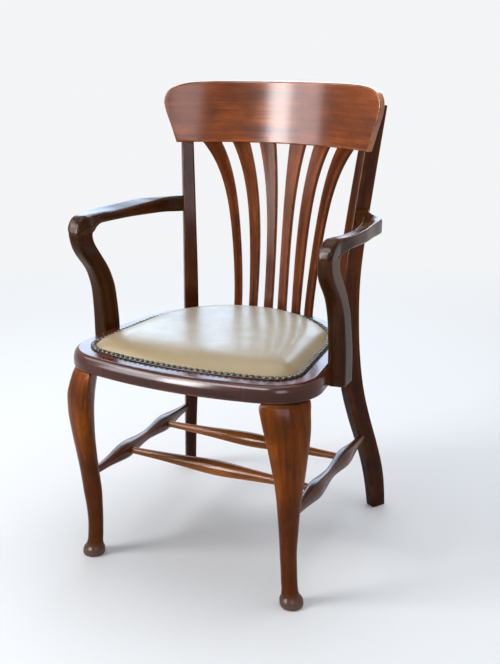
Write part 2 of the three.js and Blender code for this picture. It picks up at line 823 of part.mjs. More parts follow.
function supportDowels(grow) {
  const axis = new THREE.Vector3(Math.cos(seatSideFlare), Math.sin(seatSideFlare), 0);
  return supportDowelPlaces.map((forward) => {
    const x = (seatBackRadius + forward * axis.y) / axis.x;
    const at = new THREE.Vector3(x, -forward, seatTop - railThickness / 2);
    return dowel(at, axis, supportDowelIn, supportDowelOut, grow);
  });
}

// Round tenons turned on the arm's back end and on the support's top
function armTenon(grow) {
  const middle = (armTop + armBottom) / 2;
  const side = postCentre(middle).addScaledVector(outward, postHalfWidth(middle));
  return dowel(side, outward, armTenonLength, holeEnd, grow);
}

function supportTenon(grow) {
  const front = new THREE.Vector3(supportInner + supportWidth / 2, -supportTenonForward, armBottom);
  return dowel(front, up, holeEnd, supportTenonLength, grow);
}

// Upholstery

const crownRun = seatBackRadius - leatherInset - leatherFlat;

function crownRise(inward) {
  const toCentre = 1 - Math.max(inward, 0) / crownRun;
  return leatherCrown * (1 - toCentre ** crownPower);
}

// Rings of the crowned leather, from its middle out to a chosen ring near the edge
function crownRings(base, edgeShares) {
  const insets = [...edgeShares, ...leatherRiseShares].map((share) => leatherInset + leatherFlat * share);
  const rings = insets.map((inset) => {
    const z = base + crownRise(inset - leatherInset - leatherFlat);
    return wholeRim.map((station) => rimPoint(station, inset, z));
  });
  const last = rings[rings.length - 1];
  const lastRun = insets[insets.length - 1] - leatherInset - leatherFlat;
  const middle = new THREE.Vector3(0, -crownForward, 0);
  crownScaleShares.forEach((scale) => {
    const z = base + crownRise(crownRun - (crownRun - lastRun) * scale);
    rings.push(last.map((place) => {
      const moved = place.clone().sub(middle).multiplyScalar(scale).add(middle);
      return moved.setZ(z);
    }));
  });
  return rings.reverse();
}

function leatherCover() {
  const under = seatTop + gap;
  const top = crownRings(under + leatherThickness, leatherEdgeShares);
  const bottom = crownRings(under, leatherEdgeShares).reverse();
  return loft([...top, ...bottom]);
}

const webbingBase = seatTop - rebateDepth + gap;
const webbingRaised = webbingBase + webbingThickness + gap;
const hessianBase = webbingRaised + webbingThickness + gap;

function stuffingPad() {
  const top = crownRings(seatTop, []);
  const base = hessianBase + hessianThickness + gap;
  const foot = top[top.length - 1].map((place) => place.clone().setZ(base));
  return loft([...top, foot]);
}

function slab(inset, from, to) {
  return loft([from, to].map((z) => wholeRim.map((station) => rimPoint(station, inset, z))));
}

// A strap runs along X or Y and passes over and under the four that cross it
function strap(row, alongX) {
  const offset = webbingPitch * webbingShares[row];
  const half = webbingWidth / 2;
  const reach = seatForward;
  const flat = half + webbingEase;
  const raised = (crossing) => (row + crossing + (alongX ? 1 : 0)) % 2;
  const places = [[-reach, 0]];
  webbingShares.forEach((share, crossing) => {
    const middle = webbingPitch * share;
    places.push([middle - flat, raised(crossing)], [middle + flat, raised(crossing)]);
  });
  places.push([reach, 0]);
  const rings = places.map(([along, high]) => {
    const low = high ? webbingRaised : webbingBase;
    return [[-half, 0], [half, 0], [half, webbingThickness], [-half, webbingThickness]]
      .map(([aside, rise]) => (alongX
        ? new THREE.Vector3(along, offset + aside - crownForward, low + rise)
        : new THREE.Vector3(offset + aside, along - crownForward, low + rise)));
  });
  return trimmed(loft(rings), slab(webbingInset, webbingBase - holeEnd, hessianBase));
}

// Close nailing: domed heads that touch, with a narrow low neck between each two
function nailRow() {
  const z = seatTop + 2 * gap + leatherThickness;
  const line = new THREE.CatmullRomCurve3(wholeRim.map((station) => rimPoint(station, nailInset, z)), true);
  const count = Math.round(line.getLength() / nailPitch);
  const halves = 2 * count;
  const rings = steps(halves).slice(0, halves).map((share, i) => {
    const size = i % 2 ? nailNeckShare : 1;
    const tangent = line.getTangentAt(share);
    const aside = new THREE.Vector3(-tangent.y, tangent.x, 0);
    return nailSectionShares.map(([out, high]) => line.getPointAt(share)
      .addScaledVector(aside, nailRadius * size * out)
      .addScaledVector(up, nailHeight * size * high));
  });
  return closedLoft(rings);
}

// The whole chair

const finish = (color, roughness, metalness = 0) => (
  new THREE.MeshStandardMaterial({ color, roughness, metalness }));
const polishedFrame = finish(0x4a1f10, 0.25);
const polishedCrest = finish(0x6e2f17, 0.22);
const polishedSlat = finish(0x7d3519, 0.28);
const polishedLeg = finish(0x6b2b12, 0.28);
const polishedArm = finish(0x3f1a10, 0.24);
const bareBeech = finish(0xc79a66, 0.7);
const leather = finish(0xb9aa86, 0.4);
const bronze = finish(0x4d4636, 0.35, 0.9);
const jute = finish(0xa58e63, 0.95);
const wool = finish(0xd8cfb8, 1);

const group = new THREE.Group();

function add(name, geometry, material) {
  const mesh = new THREE.Mesh(geometry, material);
  mesh.name = name;
  group.add(mesh);
}

function addPair(name, geometry, material) {
  add(`${name}_right`, geometry, material);
  add(`${name}_left`, mirrored(geometry), material);
}

function addDowels(name, dowels) {
  dowels.forEach((peg, i) => addPair(`${name}_${i + 1}`, peg, bareBeech));
}

const bothSides = (parts) => [...parts, ...parts.map(mirrored)];

// Angle of the joint between front and side rail, on the bow
const frontJointAngle = -Math.acos(frontJointReach / seatBowRadius);
const frontGapAngle = gap / seatBowRadius;
const backGapAngle = gap / (seatBackRadius - railWidth);

const legHoles = legTenon(gap);
const sideHoles = sideStretcherBody(gap);
const crossHoles = [crossBack, crossFront].map((y) => crossStretcherBody(y, gap));
const slatVoids = slatEdgeShares.map((edges) => slatBody(edges, gap));

const sideStations = [
  ...arc('back', backJointAngle, seatSideFlare, 1),
  ...arc('corner', seatSideFlare, plan.bowAngle, seatCornerFacets),
  ...arc('bow', plan.bowAngle, frontJointAngle, 1).slice(1),
];
const frontStations = arc(
  'bow', frontJointAngle - frontGapAngle, -Math.PI - frontJointAngle + frontGapAngle, 2 * seatBowFacets);
const backStations = arc(
  'back', backJointAngle + backGapAngle, Math.PI - backJointAngle - backGapAngle, 2 * seatBackFacets);

const frontDowels = (grow) => tangentDowel('bow', frontJointAngle, grow);
const backDowels = (grow) => tangentDowel('back', backJointAngle, grow);

add('seat_front_rail', cut(loft(railRings(frontStations)), bothSides(frontDowels(gap))), polishedFrame);
addPair('seat_side_rail', cut(loft(railRings(sideStations)), [
  ...frontDowels(gap), ...backDowels(gap), ...supportDowels(gap), legHoles]), polishedFrame);
add('seat_back_rail', cut(loft(railRings(backStations)), bothSides([
  ...backDowels(gap), ...postDowels(gap), ...slatVoids])), polishedFrame);
addDowels('front_joint_dowel', frontDowels(0));
addDowels('back_joint_dowel', backDowels(0));

const legBody = joined(loft(legShares.map(legRing)), legTenon(0));
addPair('front_leg', cut(legBody, [sideHoles]), polishedLeg);

const postRim = arc('back', Math.PI / 2, seatSideFlare, 2 * seatBackFacets);
addPair('back_post', cut(postBody(), [
  railVoid(postRim, gap), crestLap(), sideHoles, armTenon(gap), ...postDowels(gap), ...crestDowels(gap),
]), polishedArm);
addDowels('post_dowel', postDowels(0));

add('crest_rail', cut(crestBody(), bothSides([...crestDowels(gap), ...slatVoids])), polishedCrest);
addDowels('crest_dowel', crestDowels(0));
const slats = slatEdgeShares.map((edges) => slatBody(edges, 0));
[...slats.map(mirrored), ...slats.reverse()].forEach((slat, i) => {
  add(`back_slat_${i + 1}`, slat, polishedSlat);
});

addPair('arm', joined(cut(armBody(), [supportTenon(gap)]), armTenon(0)), polishedArm);
const supportVoids = [railVoid(sideStations, railThickness), ...supportDowels(gap)];
addPair('arm_support', joined(cut(supportBody(), supportVoids), supportTenon(0)), polishedArm);
addDowels('support_dowel', supportDowels(0));

addPair('side_stretcher', cut(sideStretcherBody(0), crossHoles), polishedLeg);
add('cross_stretcher_rear', crossStretcherBody(crossBack, 0), polishedLeg);
add('cross_stretcher_front', crossStretcherBody(crossFront, 0), polishedLeg);

webbingShares.forEach((share, row) => {
  add(`webbing_long_${row + 1}`, strap(row, false), jute);
  add(`webbing_cross_${row + 1}`, strap(row, true), jute);
});
add('hessian', slab(hessianInset, hessianBase, hessianBase + hessianThickness), jute);
add('seat_stuffing', stuffingPad(), wool);
add('leather_cover', leatherCover(), leather);
add('upholstery_nails', nailRow(), bronze);

// Origin under the middle of the chair's box
const box = new THREE.Box3().setFromObject(group);
group.position.y = -(box.min.y + box.max.y) / 2;

export default group;
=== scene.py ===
from math import acos, asin, atan2, cos, exp, pi, radians, sin, sqrt

import bpy
import numpy as np
from mathutils import Matrix, Vector, noise


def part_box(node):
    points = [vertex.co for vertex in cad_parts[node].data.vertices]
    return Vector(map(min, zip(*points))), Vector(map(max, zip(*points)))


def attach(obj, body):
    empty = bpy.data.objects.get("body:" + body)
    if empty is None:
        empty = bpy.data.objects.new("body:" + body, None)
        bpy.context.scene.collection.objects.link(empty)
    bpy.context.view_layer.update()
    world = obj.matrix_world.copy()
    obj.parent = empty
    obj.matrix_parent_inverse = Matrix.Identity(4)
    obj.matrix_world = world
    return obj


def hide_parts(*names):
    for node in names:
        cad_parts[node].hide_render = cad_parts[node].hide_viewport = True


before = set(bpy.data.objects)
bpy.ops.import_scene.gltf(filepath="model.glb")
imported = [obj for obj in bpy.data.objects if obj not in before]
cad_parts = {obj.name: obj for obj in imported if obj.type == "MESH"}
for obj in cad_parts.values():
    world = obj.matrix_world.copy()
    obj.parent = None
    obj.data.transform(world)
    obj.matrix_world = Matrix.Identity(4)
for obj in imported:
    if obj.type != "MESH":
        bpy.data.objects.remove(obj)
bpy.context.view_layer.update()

MM = 0.001
QUARTER = pi / 2
CROSS_BACK = 100.0
cross_low, cross_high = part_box("cross_stretcher_rear")
SHIFT = (cross_low.y + cross_high.y) / 2 / MM - CROSS_BACK

UP = np.array([0.0, 0.0, 1.0])
AXIS_X = np.array([1.0, 0.0, 0.0])
AXIS_Y = np.array([0.0, 1.0, 0.0])

# Curves


def natural(knots, values):
    """Natural cubic through a graph's points."""
    x, y = np.array(knots, float), np.array(values, float)
    n = len(x)
    h = np.diff(x)
    a = np.zeros((n, n))
    b = np.zeros((n,) + y.shape[1:])
    a[0, 0] = a[-1, -1] = 1
    for i in range(1, n - 1):
        a[i, i - 1 : i + 2] = h[i - 1], 2 * (h[i - 1] + h[i]), h[i]
        b[i] = 6 * ((y[i + 1] - y[i]) / h[i] - (y[i] - y[i - 1]) / h[i - 1])
    m = np.linalg.solve(a, b.reshape(n, -1)).reshape(b.shape)

    def at(t):
        i = int(np.clip(np.searchsorted(x, t) - 1, 0, n - 2))
        u, v = (x[i + 1] - t) / h[i], (t - x[i]) / h[i]
        bend = ((u**3 - u) * m[i] + (v**3 - v) * m[i + 1]) * h[i] ** 2 / 6
        return u * y[i] + v * y[i + 1] + bend

    return at


def monotone(knots, values):
    """Cubic through a graph's points that never overshoots them."""
    x, y = np.array(knots, float), np.array(values, float)
    h = np.diff(x)
    slope = np.diff(y) / h
    d = np.zeros(len(x))
    for i in range(1, len(x) - 1):
        if slope[i - 1] * slope[i] > 0:
            w1, w2 = 2 * h[i] + h[i - 1], h[i] + 2 * h[i - 1]
            d[i] = (w1 + w2) / (w1 / slope[i - 1] + w2 / slope[i])
    d[0], d[-1] = slope[0], slope[-1]

    def at(t):
        i = int(np.clip(np.searchsorted(x, t) - 1, 0, len(x) - 2))
        s = (t - x[i]) / h[i]
        start = (1 - s) ** 2 * ((1 + 2 * s) * y[i] + s * h[i] * d[i])
        return start + s * s * ((3 - 2 * s) * y[i + 1] + (s - 1) * h[i] * d[i + 1])

    return at


def plan_curve(points):
    """Uniform Catmull-Rom through points, as a function of the share of the way."""
    pts = np.array(points, float)
    last = len(pts) - 1

    def at(t):
        i = min(int(t * last), last - 1) if t < 1 else last
        w = t * last - i
        p0, p1 = pts[max(i - 1, 0)], pts[i]
        p2, p3 = pts[min(i + 1, last)], pts[min(i + 2, last)]
        v0, v1 = (p2 - p0) / 2, (p3 - p1) / 2
        cubic, square = 2 * p1 - 2 * p2 + v0 + v1, -3 * p1 + 3 * p2 - 2 * v0 - v1
        return cubic * w**3 + square * w**2 + v0 * w + p1

    return at


# Sections


def in_space(centre, u, v, across, along):
    """Points of a flat outline, laid out from centre along u and v."""
    return centre + np.outer(across, u) + np.outer(along, v)


def rounded_ring(centre, u, v, half_u, half_v, radii, steps=4):
    """A rectangle with round corners, of one radius or one each, and two points along each side."""
    radii = np.minimum(np.broadcast_to(radii, 4), min(half_u, half_v) * 0.98)
    corners = []
    for radius, (su, sv) in zip(radii, ((1, 1), (-1, 1), (-1, -1), (1, -1))):
        angles = np.linspace(0, QUARTER, steps + 1)[:: su * sv]
        corners.append(np.stack([su * (half_u - radius + radius * np.cos(angles)),
                                 sv * (half_v - radius + radius * np.sin(angles))], 1))
    ring = []
    for corner, following in zip(corners, corners[1:] + corners[:1]):
        p, q = corner[-1], following[0]
        ring += [corner, [p * 2 / 3 + q / 3, p / 3 + q * 2 / 3]]
    return in_space(centre, u, v, *np.concatenate(ring).T)


def bulged(value, power):
    """A sine or cosine as on an oval that is squarer with a greater power."""
    return np.sign(value) * np.abs(value) ** (2 / power)


def around(count):
    """Angles spread evenly round a circle."""
    return np.arange(count) / count * 2 * pi


def oval_ring(centre, u, v, half_u, half_v, power, count):
    across, along = (bulged(f(around(count)), power) for f in (np.cos, np.sin))
    return in_space(centre, u, v, half_u * across, half_v * along)


def way_along(line, least=0.0):
    """How far along their line points lie, with no step shorter than the least."""
    steps = np.linalg.norm(np.diff(line, axis=0), axis=1)
    return np.concatenate([[0], np.cumsum(np.maximum(steps, least))])


def refined(rings, per_span):
    """More rings between the given ones, on natural cubics through their points."""
    stack = np.array(rings)
    knots = way_along(stack.mean(1), 0.5)
    at = natural(knots, stack)
    out = []
    for start, end in zip(knots, knots[1:]):
        out += [at(start + (end - start) * k / per_span) for k in range(per_span)]
    return out + [stack[-1]]


# Meshes

WEAR_CURVATURE = (60, 420)
LEFT_OFFSET = 733.0


def grain_of(rings):
    """Each point's place along the piece and across it, in millimetres, for the wood's grain."""
    stack = np.array(rings)
    middles = stack.mean(1)
    tangents = np.gradient(middles, axis=0)
    tangents /= np.maximum(np.linalg.norm(tangents, axis=1, keepdims=True), 1e-9)
    across = AXIS_X if abs(tangents[0][0]) < 0.8 else AXIS_Y
    rows = []
    for ring, middle, tangent, s in zip(stack, middles, tangents, way_along(middles)):
        across = across - tangent * (across @ tangent)
        across = across / np.linalg.norm(across)
        d = ring - middle
        rows.append(np.stack([s + d @ tangent, d @ across, d @ np.cross(tangent, across)], 1))
    return np.concatenate(rows)


def quads(grid, closed=True):
    """Faces of a grid of point numbers, whose rows may close to rings."""
    grid = np.array(grid)
    if closed:
        grid = np.hstack([grid, grid[:, :1]])
    corners = grid[:-1, :-1], grid[:-1, 1:], grid[1:, 1:], grid[1:, :-1]
    return list(zip(*(corner.ravel().tolist() for corner in corners)))


def loft_data(rings, grain=None):
    """Points, faces and grain of a closed skin through rings with the same number of points."""
    count = len(rings[0])
    points = np.concatenate(rings)
    numbers = np.arange(len(points)).reshape(-1, count)
    faces = quads(numbers) + [tuple(numbers[0].tolist())[::-1], tuple(numbers[-1].tolist())]
    return points, faces, grain_of(rings) if grain is None else grain


def peaked_faces(rows, count):
    """Faces of rings closed by a point over the last ring and a point under the first."""
    faces = quads(np.arange(rows * count).reshape(rows, count))
    last, top = (rows - 1) * count, rows * count
    for k in range(count):
        n = (k + 1) % count
        faces += [(last + k, last + n, top), (n, k, top + 1)]
    return faces


def curvature(mesh):
    """How convex (above 0) or hollow (below 0) the surface is at each point, in 1/m."""
    co = np.array([vertex.co for vertex in mesh.vertices])
    no = np.array([normal.vector for normal in mesh.vertex_normals])
    a, b = np.array([edge.vertices[:] for edge in mesh.edges]).T
    d = co[b] - co[a]
    bend = np.einsum("ij,ij->i", no[b] - no[a], d) / np.maximum(np.einsum("ij,ij->i", d, d), 1e-12)
    top = np.full(len(co), -1e6)
    low = np.full(len(co), 1e6)
    for ends in (a, b):
        np.maximum.at(top, ends, bend)
        np.minimum.at(low, ends, bend)
    return np.where(top > -low, top, low)


def smooth_share(x, low, high):
    t = np.clip((x - low) / (high - low), 0, 1)
    return t * t * (3 - 2 * t)


def add_object(name, data):
    obj = bpy.data.objects.new(name, data)
    bpy.context.scene.collection.objects.link(obj)
    return obj


def make(name, data, material, slot, nodes, offset=0.0, sharp=50, flip=False, **floats):
    """A piece made from points in millimetres. offset shifts its grain, floats are values at each point."""
    points, faces, grain = data
    co = np.array(points, float)
    if flip:
        co = co * (-1.0, 1.0, 1.0)
        faces = [f[::-1] for f in faces]
    co = (co + (0.0, SHIFT, 0.0)) * MM
    mesh = bpy.data.meshes.new(name)
    mesh.from_pydata(co.tolist(), [], faces)
    mesh.update()
    corners = [(f[0], f[k], f[k + 1]) for f in faces for k in range(1, len(f) - 1)]
    a, b, c = (co[i] for i in np.array(corners).T)
    if np.sum(a * np.cross(b, c)) < 0:
        mesh.flip_normals()
    mesh.update()
    grain = (np.array(grain) + (offset, 0.37 * offset, 0.61 * offset)) * MM
    layer = mesh.attributes.new("grain", "FLOAT_VECTOR", "POINT")
    layer.data.foreach_set("vector", grain.astype(np.float32).ravel())
    floats["wear"] = smooth_share(curvature(mesh), *WEAR_CURVATURE)
    for key, values in floats.items():
        layer = mesh.attributes.new(key, "FLOAT", "POINT")
        layer.data.foreach_set("value", np.array(values, np.float32))
    mesh.materials.append(material)
    mesh.shade_smooth()
    mesh.set_sharp_from_angle(angle=radians(sharp))
    obj = add_object(name, mesh)
    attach(obj, "root")
    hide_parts(*nodes)
    weighted = obj.modifiers.new("Weighted", "WEIGHTED_NORMAL")
    weighted.keep_sharp = True
    weighted.weight = 60
    return obj


def make_pair(name, data, material, slot, node, offset):
    make(f"{name}_r", data, material, slot, [f"{node}_right"], offset)
    make(f"{name}_l", data, material, slot, [f"{node}_left"], offset + LEFT_OFFSET, flip=True)


# Materials


class Nodes:
    """Short calls for building the nodes of a material or of the world."""

    def __init__(self, owner, shader="Principled BSDF"):
        owner.use_nodes = True
        self.owner = owner
        self.tree = owner.node_tree
        self.shader = self.tree.nodes[shader]

    def fill(self, node, inputs):
        """Sets a node's inputs, by name or number, each to a value or to another node's output."""
        for key, value in inputs.items():
            socket = node.inputs[key]
            if isinstance(value, bpy.types.NodeSocket):
                self.tree.links.new(value, socket)
            elif socket.type == "RGBA":
                socket.default_value = (*value, 1.0)
            else:
                socket.default_value = value

    def node(self, kind, inputs, **settings):
        """A new node's outputs."""
        n = self.tree.nodes.new("ShaderNode" + kind)
        for key, value in settings.items():
            setattr(n, key, value)
        self.fill(n, inputs)
        return n.outputs

    def attribute(self, name, output="Fac"):
        return self.node("Attribute", {}, attribute_name=name)[output]

    def scaled(self, vector, scale):
        """A vector times one number, or times one for each direction."""
        scale = scale if isinstance(scale, tuple) else (scale,) * 3
        return self.node("VectorMath", {0: vector, 1: scale}, operation="MULTIPLY")[0]

    def noise(self, vector, scale, detail, rough=0.55, distort=0.0):
        return self.node("TexNoise", {"Vector": self.scaled(vector, scale), "Scale": 1.0, "Detail": detail,
                                      "Roughness": rough, "Distortion": distort})["Fac"]

    def ramp(self, factor, *stops):
        n = self.tree.nodes.new("ShaderNodeValToRGB")
        self.fill(n, {0: factor})
        elements = n.color_ramp.elements
        while len(elements) < len(stops):
            elements.new(0.5)
        for element, (place, color) in zip(elements, stops):
            element.position = place
            element.color = (*color, 1.0)
        return n.outputs["Color"]

    def span(self, factor, low, high, to_low=0.0, to_high=1.0, **settings):
        return self.node("MapRange", {"Value": factor, "From Min": low, "From Max": high,
                                      "To Min": to_low, "To Max": to_high}, **settings)["Result"]

    def math(self, operation, a, b):
        return self.node("Math", {0: a, 1: b}, operation=operation)[0]

    def mean(self, a, b, share):
        """A mean of two values that holds a share of the second."""
        return self.math("ADD", self.math("MULTIPLY", a, 1 - share), self.math("MULTIPLY", b, share))

    def mix(self, factor, a, b):
        return self.node("Mix", {0: factor, 6: a, 7: b}, data_type="RGBA")[2]

    def tint(self, color, factor, low, high, most, over):
        """A colour with another over it, which is stronger where factor is higher."""
        return self.mix(self.span(factor, low, high, 0.0, most), color, over)

    def bump(self, height, distance, strength, before=None):
        inputs = {"Height": height, "Distance": distance, "Strength": strength}
        if before is not None:
            inputs["Normal"] = before
        return self.node("Bump", inputs)["Normal"]

    def seen(self):
        """1 on what the camera sees, straight or in a reflection or through glass, otherwise 0."""
        rays = self.node("LightPath", {})
        first = self.math("MAXIMUM", rays["Is Camera Ray"], rays["Is Glossy Ray"])
        return self.math("MAXIMUM", first, rays["Is Transmission Ray"])

    def surface(self, output, factor, second):
        """Sends the shader to the output, turning to a second one as factor goes to 1."""
        blend = self.node("MixShader", {0: factor, 1: self.shader.outputs[0], 2: second})[0]
        self.fill(self.tree.nodes[output], {"Surface": blend})


def material_nodes(name):
    """A new material's nodes and its pieces' grain."""
    m = Nodes(bpy.data.materials.new(name))
    return m, m.attribute("grain", "Vector")


def linear(*color):
    """An sRGB colour given in 0 to 255 as linear values."""
    shares = [c / 255 for c in color]
    return tuple(c / 12.92 if c <= 0.04045 else ((c + 0.055) / 1.055) ** 2.4 for c in shares)


def dim(color, share):
    return tuple(c * share for c in color)


def wood(name, colors, rough, coat, shine, skin, low=None, dust_and_sheen=0.0, smoke=0.0):
    """Polished mahogany: ribbons and fine streaks along the piece, open pores, worn arrises.

    The colours are the dark, middle and light figure and the worn edge. coat and skin are how
    strong and how rough the polish is, shine is the gloss under it, and smoke is dark clouding.
    A leg or post darkens downwards between the two heights in low, as painted shade, and a leg's foot turns
    grey with dust and painted sheen.
    """
    dark, mid, light, edge = (linear(*c) for c in colors)
    m, grain = material_nodes(name)
    broad = m.noise(grain, (2.2, 24, 24), 3, distort=0.25)
    ribbon = m.noise(grain, (5, 95, 95), 4, 0.6, 0.15)
    fine = m.noise(grain, (14, 520, 520), 3, 0.7)
    curl = m.noise(grain, (38, 9, 9), 2, distort=0.6)
    cloud = m.noise(grain, 7, 2)
    ripple = m.noise(grain, (16, 30, 30), 2)
    pores = m.noise(grain, (26, 900, 900), 2)
    patch = m.noise(grain, 30, 3)
    smear = m.noise(grain, (11, 16, 16), 3)
    figure = m.mean(m.mean(ribbon, broad, 0.5), fine, 0.2)
    color = m.ramp(figure, (0.33, dark), (0.5, mid), (0.68, light))
    color = m.tint(color, curl, 0.35, 0.75, 0.35, mid)
    color = m.tint(color, cloud, 0.4, 0.66, 0.72, dim(mid, 0.42))
    color = m.tint(color, ripple, 0.46, 0.68, smoke, dim(dark, 0.7))
    color = m.tint(color, pores, 0.6, 0.72, 0.55, dim(dark, 0.45))
    if low:
        height = m.node("SeparateXYZ", {0: m.node("TexCoord", {})["Object"]})["Z"]
        # Painted shade: the colour darkens towards the bottom of the piece, between the two heights in low
        color = m.mix(m.span(height, *low, 0.78, 0.0), color, dim(mid, 0.3))
        # Dust and painted sheen: the foot pad turns grey close to the floor
        color = m.mix(m.span(height, 0.008, 0.03, dust_and_sheen, 0.0), color, linear(112, 104, 98))
    worn = m.math("MULTIPLY", m.attribute("wear"), m.span(patch, 0.38, 0.62, 0.1, 0.75))
    m.fill(m.shader, {
        "Base Color": m.mix(worn, color, edge),
        "Roughness": m.span(smear, 0.35, 0.7, rough - 0.05, rough + 0.09),
        "Normal": m.bump(fine, 0.00006, 0.7, m.bump(ripple, 0.0006, 0.5)),
        "IOR": 1.5, "Specular IOR Level": shine,
        "Coat Weight": coat, "Coat Roughness": skin, "Coat IOR": 1.5,
    })
    return m.owner


crest_wood = wood("mahogany_crest", ((48, 17, 4), (156, 75, 19), (224, 126, 38), (192, 124, 76)),
                  rough=0.28, coat=0.4, shine=0.04, skin=0.18, smoke=0.36)
slat_wood = wood("mahogany_slats", ((44, 14, 3), (106, 48, 12), (168, 88, 28), (150, 80, 36)),
                 rough=0.3, coat=0.04, shine=0.04, skin=0.08)
# The legs get painted shade lower down, and their feet a grey of dust and painted sheen
leg_wood = wood("mahogany_legs", ((46, 16, 0), (128, 60, 0), (198, 106, 6), (164, 88, 20)),
                rough=0.3, coat=0.16, shine=0.03, skin=0.2, low=(0.16, 0.39), dust_and_sheen=0.5, smoke=0.42)
arm_wood = wood("mahogany_arms", ((24, 9, 0), (62, 31, 7), (108, 60, 18), (112, 64, 28)),
                rough=0.24, coat=0.12, shine=0.05, skin=0.12)
frame_wood = wood("mahogany_seat_frame", ((28, 10, 4), (78, 32, 14), (126, 60, 28), (130, 76, 46)),
                  rough=0.24, coat=0.52, shine=0.05, skin=0.17, smoke=0.25)
# The posts get painted shade lower down
post_wood = wood("mahogany_posts", ((26, 9, 0), (74, 33, 8), (124, 61, 16), (112, 60, 26)),
                 rough=0.3, coat=0.13, shine=0.03, skin=0.12, low=(0.1, 0.5))
side_wood = wood("mahogany_side_stretchers", ((36, 14, 6), (88, 44, 20), (138, 82, 44), (144, 92, 58)),
                 rough=0.24, coat=0.46, shine=0.06, skin=0.18, smoke=0.2)
cross_wood = wood("mahogany_cross_stretchers", ((60, 22, 5), (162, 92, 32), (216, 140, 62), (194, 126, 74)),
                  rough=0.24, coat=0.2, shine=0.05, skin=0.12)


def leather_material():
    """Smooth pale hide with a fine grain, warmer where it rolls to the nails, with painted shade under and
    between them.
    """
    m, grain = material_nodes("hide")
    edge = m.attribute("rim")
    cloud = m.noise(grain, 6, 4, 0.6)
    mottle = m.noise(grain, 46, 4, 0.65)
    swell = m.noise(grain, 20, 2)
    creases = m.node("TexVoronoi", {"Vector": m.scaled(grain, 520), "Scale": 1.0},
                     feature="DISTANCE_TO_EDGE")["Distance"]
    color = m.ramp(cloud, (0.34, linear(146, 130, 100)), (0.5, linear(154, 140, 112)),
                   (0.68, linear(160, 149, 126)))
    color = m.tint(color, mottle, 0.4, 0.68, 0.25, linear(150, 132, 98))
    color = m.tint(color, edge, 0.0, 1.0, 0.85, linear(160, 136, 92))
    color = m.mix(m.span(creases, 0.0, 0.14, 0.16, 0.0), color, linear(120, 106, 76))
    # Painted shade on the turned-in edge and the strip under the nails, where rim is above 1.2
    color = m.tint(color, edge, 1.2, 1.8, 1.0, linear(40, 34, 24))
    m.fill(m.shader, {
        "Base Color": color,
        "Roughness": m.span(mottle, 0.3, 0.7, 0.32, 0.44),
        "Normal": m.bump(creases, 0.0001, 0.35, m.bump(swell, 0.0008, 0.2)),
        "IOR": 1.5, "Specular IOR Level": 0.24, "Coat Weight": 0.21, "Coat Roughness": 0.22,
    })
    return m.owner


def nail_material():
    """Antique bronze heads, bright on the crown and dark where they meet."""
    m, grain = material_nodes("antique_bronze")
    spots = m.noise(grain, 190, 4, 0.7)
    color = m.ramp(spots, (0.35, linear(20, 20, 18)), (0.55, linear(52, 50, 42)),
                   (0.75, linear(84, 80, 66)))
    bright = m.math("MULTIPLY", m.attribute("crown"), m.span(spots, 0.4, 0.65, 0.15, 0.7))
    m.fill(m.shader, {
        "Base Color": m.mix(bright, color, linear(124, 122, 108)),
        "Roughness": m.span(spots, 0.35, 0.7, 0.28, 0.5),
        "Normal": m.bump(spots, 0.00012, 0.6), "Metallic": 1.0,
    })
    return m.owner


def cloth_material(name, base, shade, threads, stripe=None):
    """A plain woven jute, or with stripe a webbing with two woven lines."""
    m, grain = material_nodes(name)
    place = m.node("SeparateXYZ", {0: m.scaled(grain, threads)})
    warp, weft = (m.math("SINE", place[i], 0.0) for i in (0, 1))
    weave = m.span(m.math("MULTIPLY", warp, weft), -1.0, 1.0)
    fibre = m.noise(grain, 300, 5, 0.7)
    color = m.tint(m.mix(weave, shade, base), fibre, 0.35, 0.7, 0.5, dim(base, 0.6))
    if stripe:
        color = m.mix(m.attribute("stripe"), color, stripe)
    height = m.math("ADD", weave, m.math("MULTIPLY", fibre, 0.5))
    m.fill(m.shader, {"Base Color": color, "Normal": m.bump(height, 0.0004, 0.8),
                      "Roughness": 0.9, "Specular IOR Level": 0.2})
    return m.owner


def beech_material():
    """Bare wood of the hidden CAD pieces, which carry no grain attribute."""
    m = Nodes(bpy.data.materials.new("bare_beech"))
    streaks = m.noise(m.node("TexCoord", {})["Object"], (60, 60, 260), 5, 0.65)
    m.fill(m.shader, {
        "Base Color": m.ramp(streaks, (0.35, linear(176, 132, 90)), (0.65, linear(214, 176, 132))),
        "Roughness": m.span(streaks, 0.3, 0.7, 0.54, 0.7),
        "Normal": m.bump(streaks, 0.0002, 0.6),
    })
    return m.owner


hide = leather_material()
bronze = nail_material()
webbing_cloth = cloth_material("jute_webbing", linear(176, 156, 116), linear(128, 108, 74), 2400.0,
                               linear(96, 34, 28))
hessian_cloth = cloth_material("hessian_cloth", linear(170, 146, 104), linear(116, 94, 62), 2000.0)
beech = beech_material()

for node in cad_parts.values():
    node.data.materials.clear()
    node.data.materials.append(beech)

# Seat plan

SEAT_TOP = 443.0
SEAT_RADIUS = 239.0
SEAT_FORWARD = 252.0
SEAT_MIDDLE = np.array([0.0, -8.0, 0.0])
BOW_RADIUS = 783.0
CORNER_RADIUS = 92.0
FLARE = radians(5)
RAIL_THICKNESS = 32.0
RAIL_BOTTOM = SEAT_TOP - RAIL_THICKNESS
RAIL_WIDTH = 70.0
BULLNOSE = 10.0
BULLNOSE_START = 11.0
BULLNOSE_TURN = radians(86)
QUIRK = 2.0
EASE = 2.5
LIP = 0.9
REBATE_INSET = 47.0
REBATE_DEPTH = 4.0
GAP = 0.3

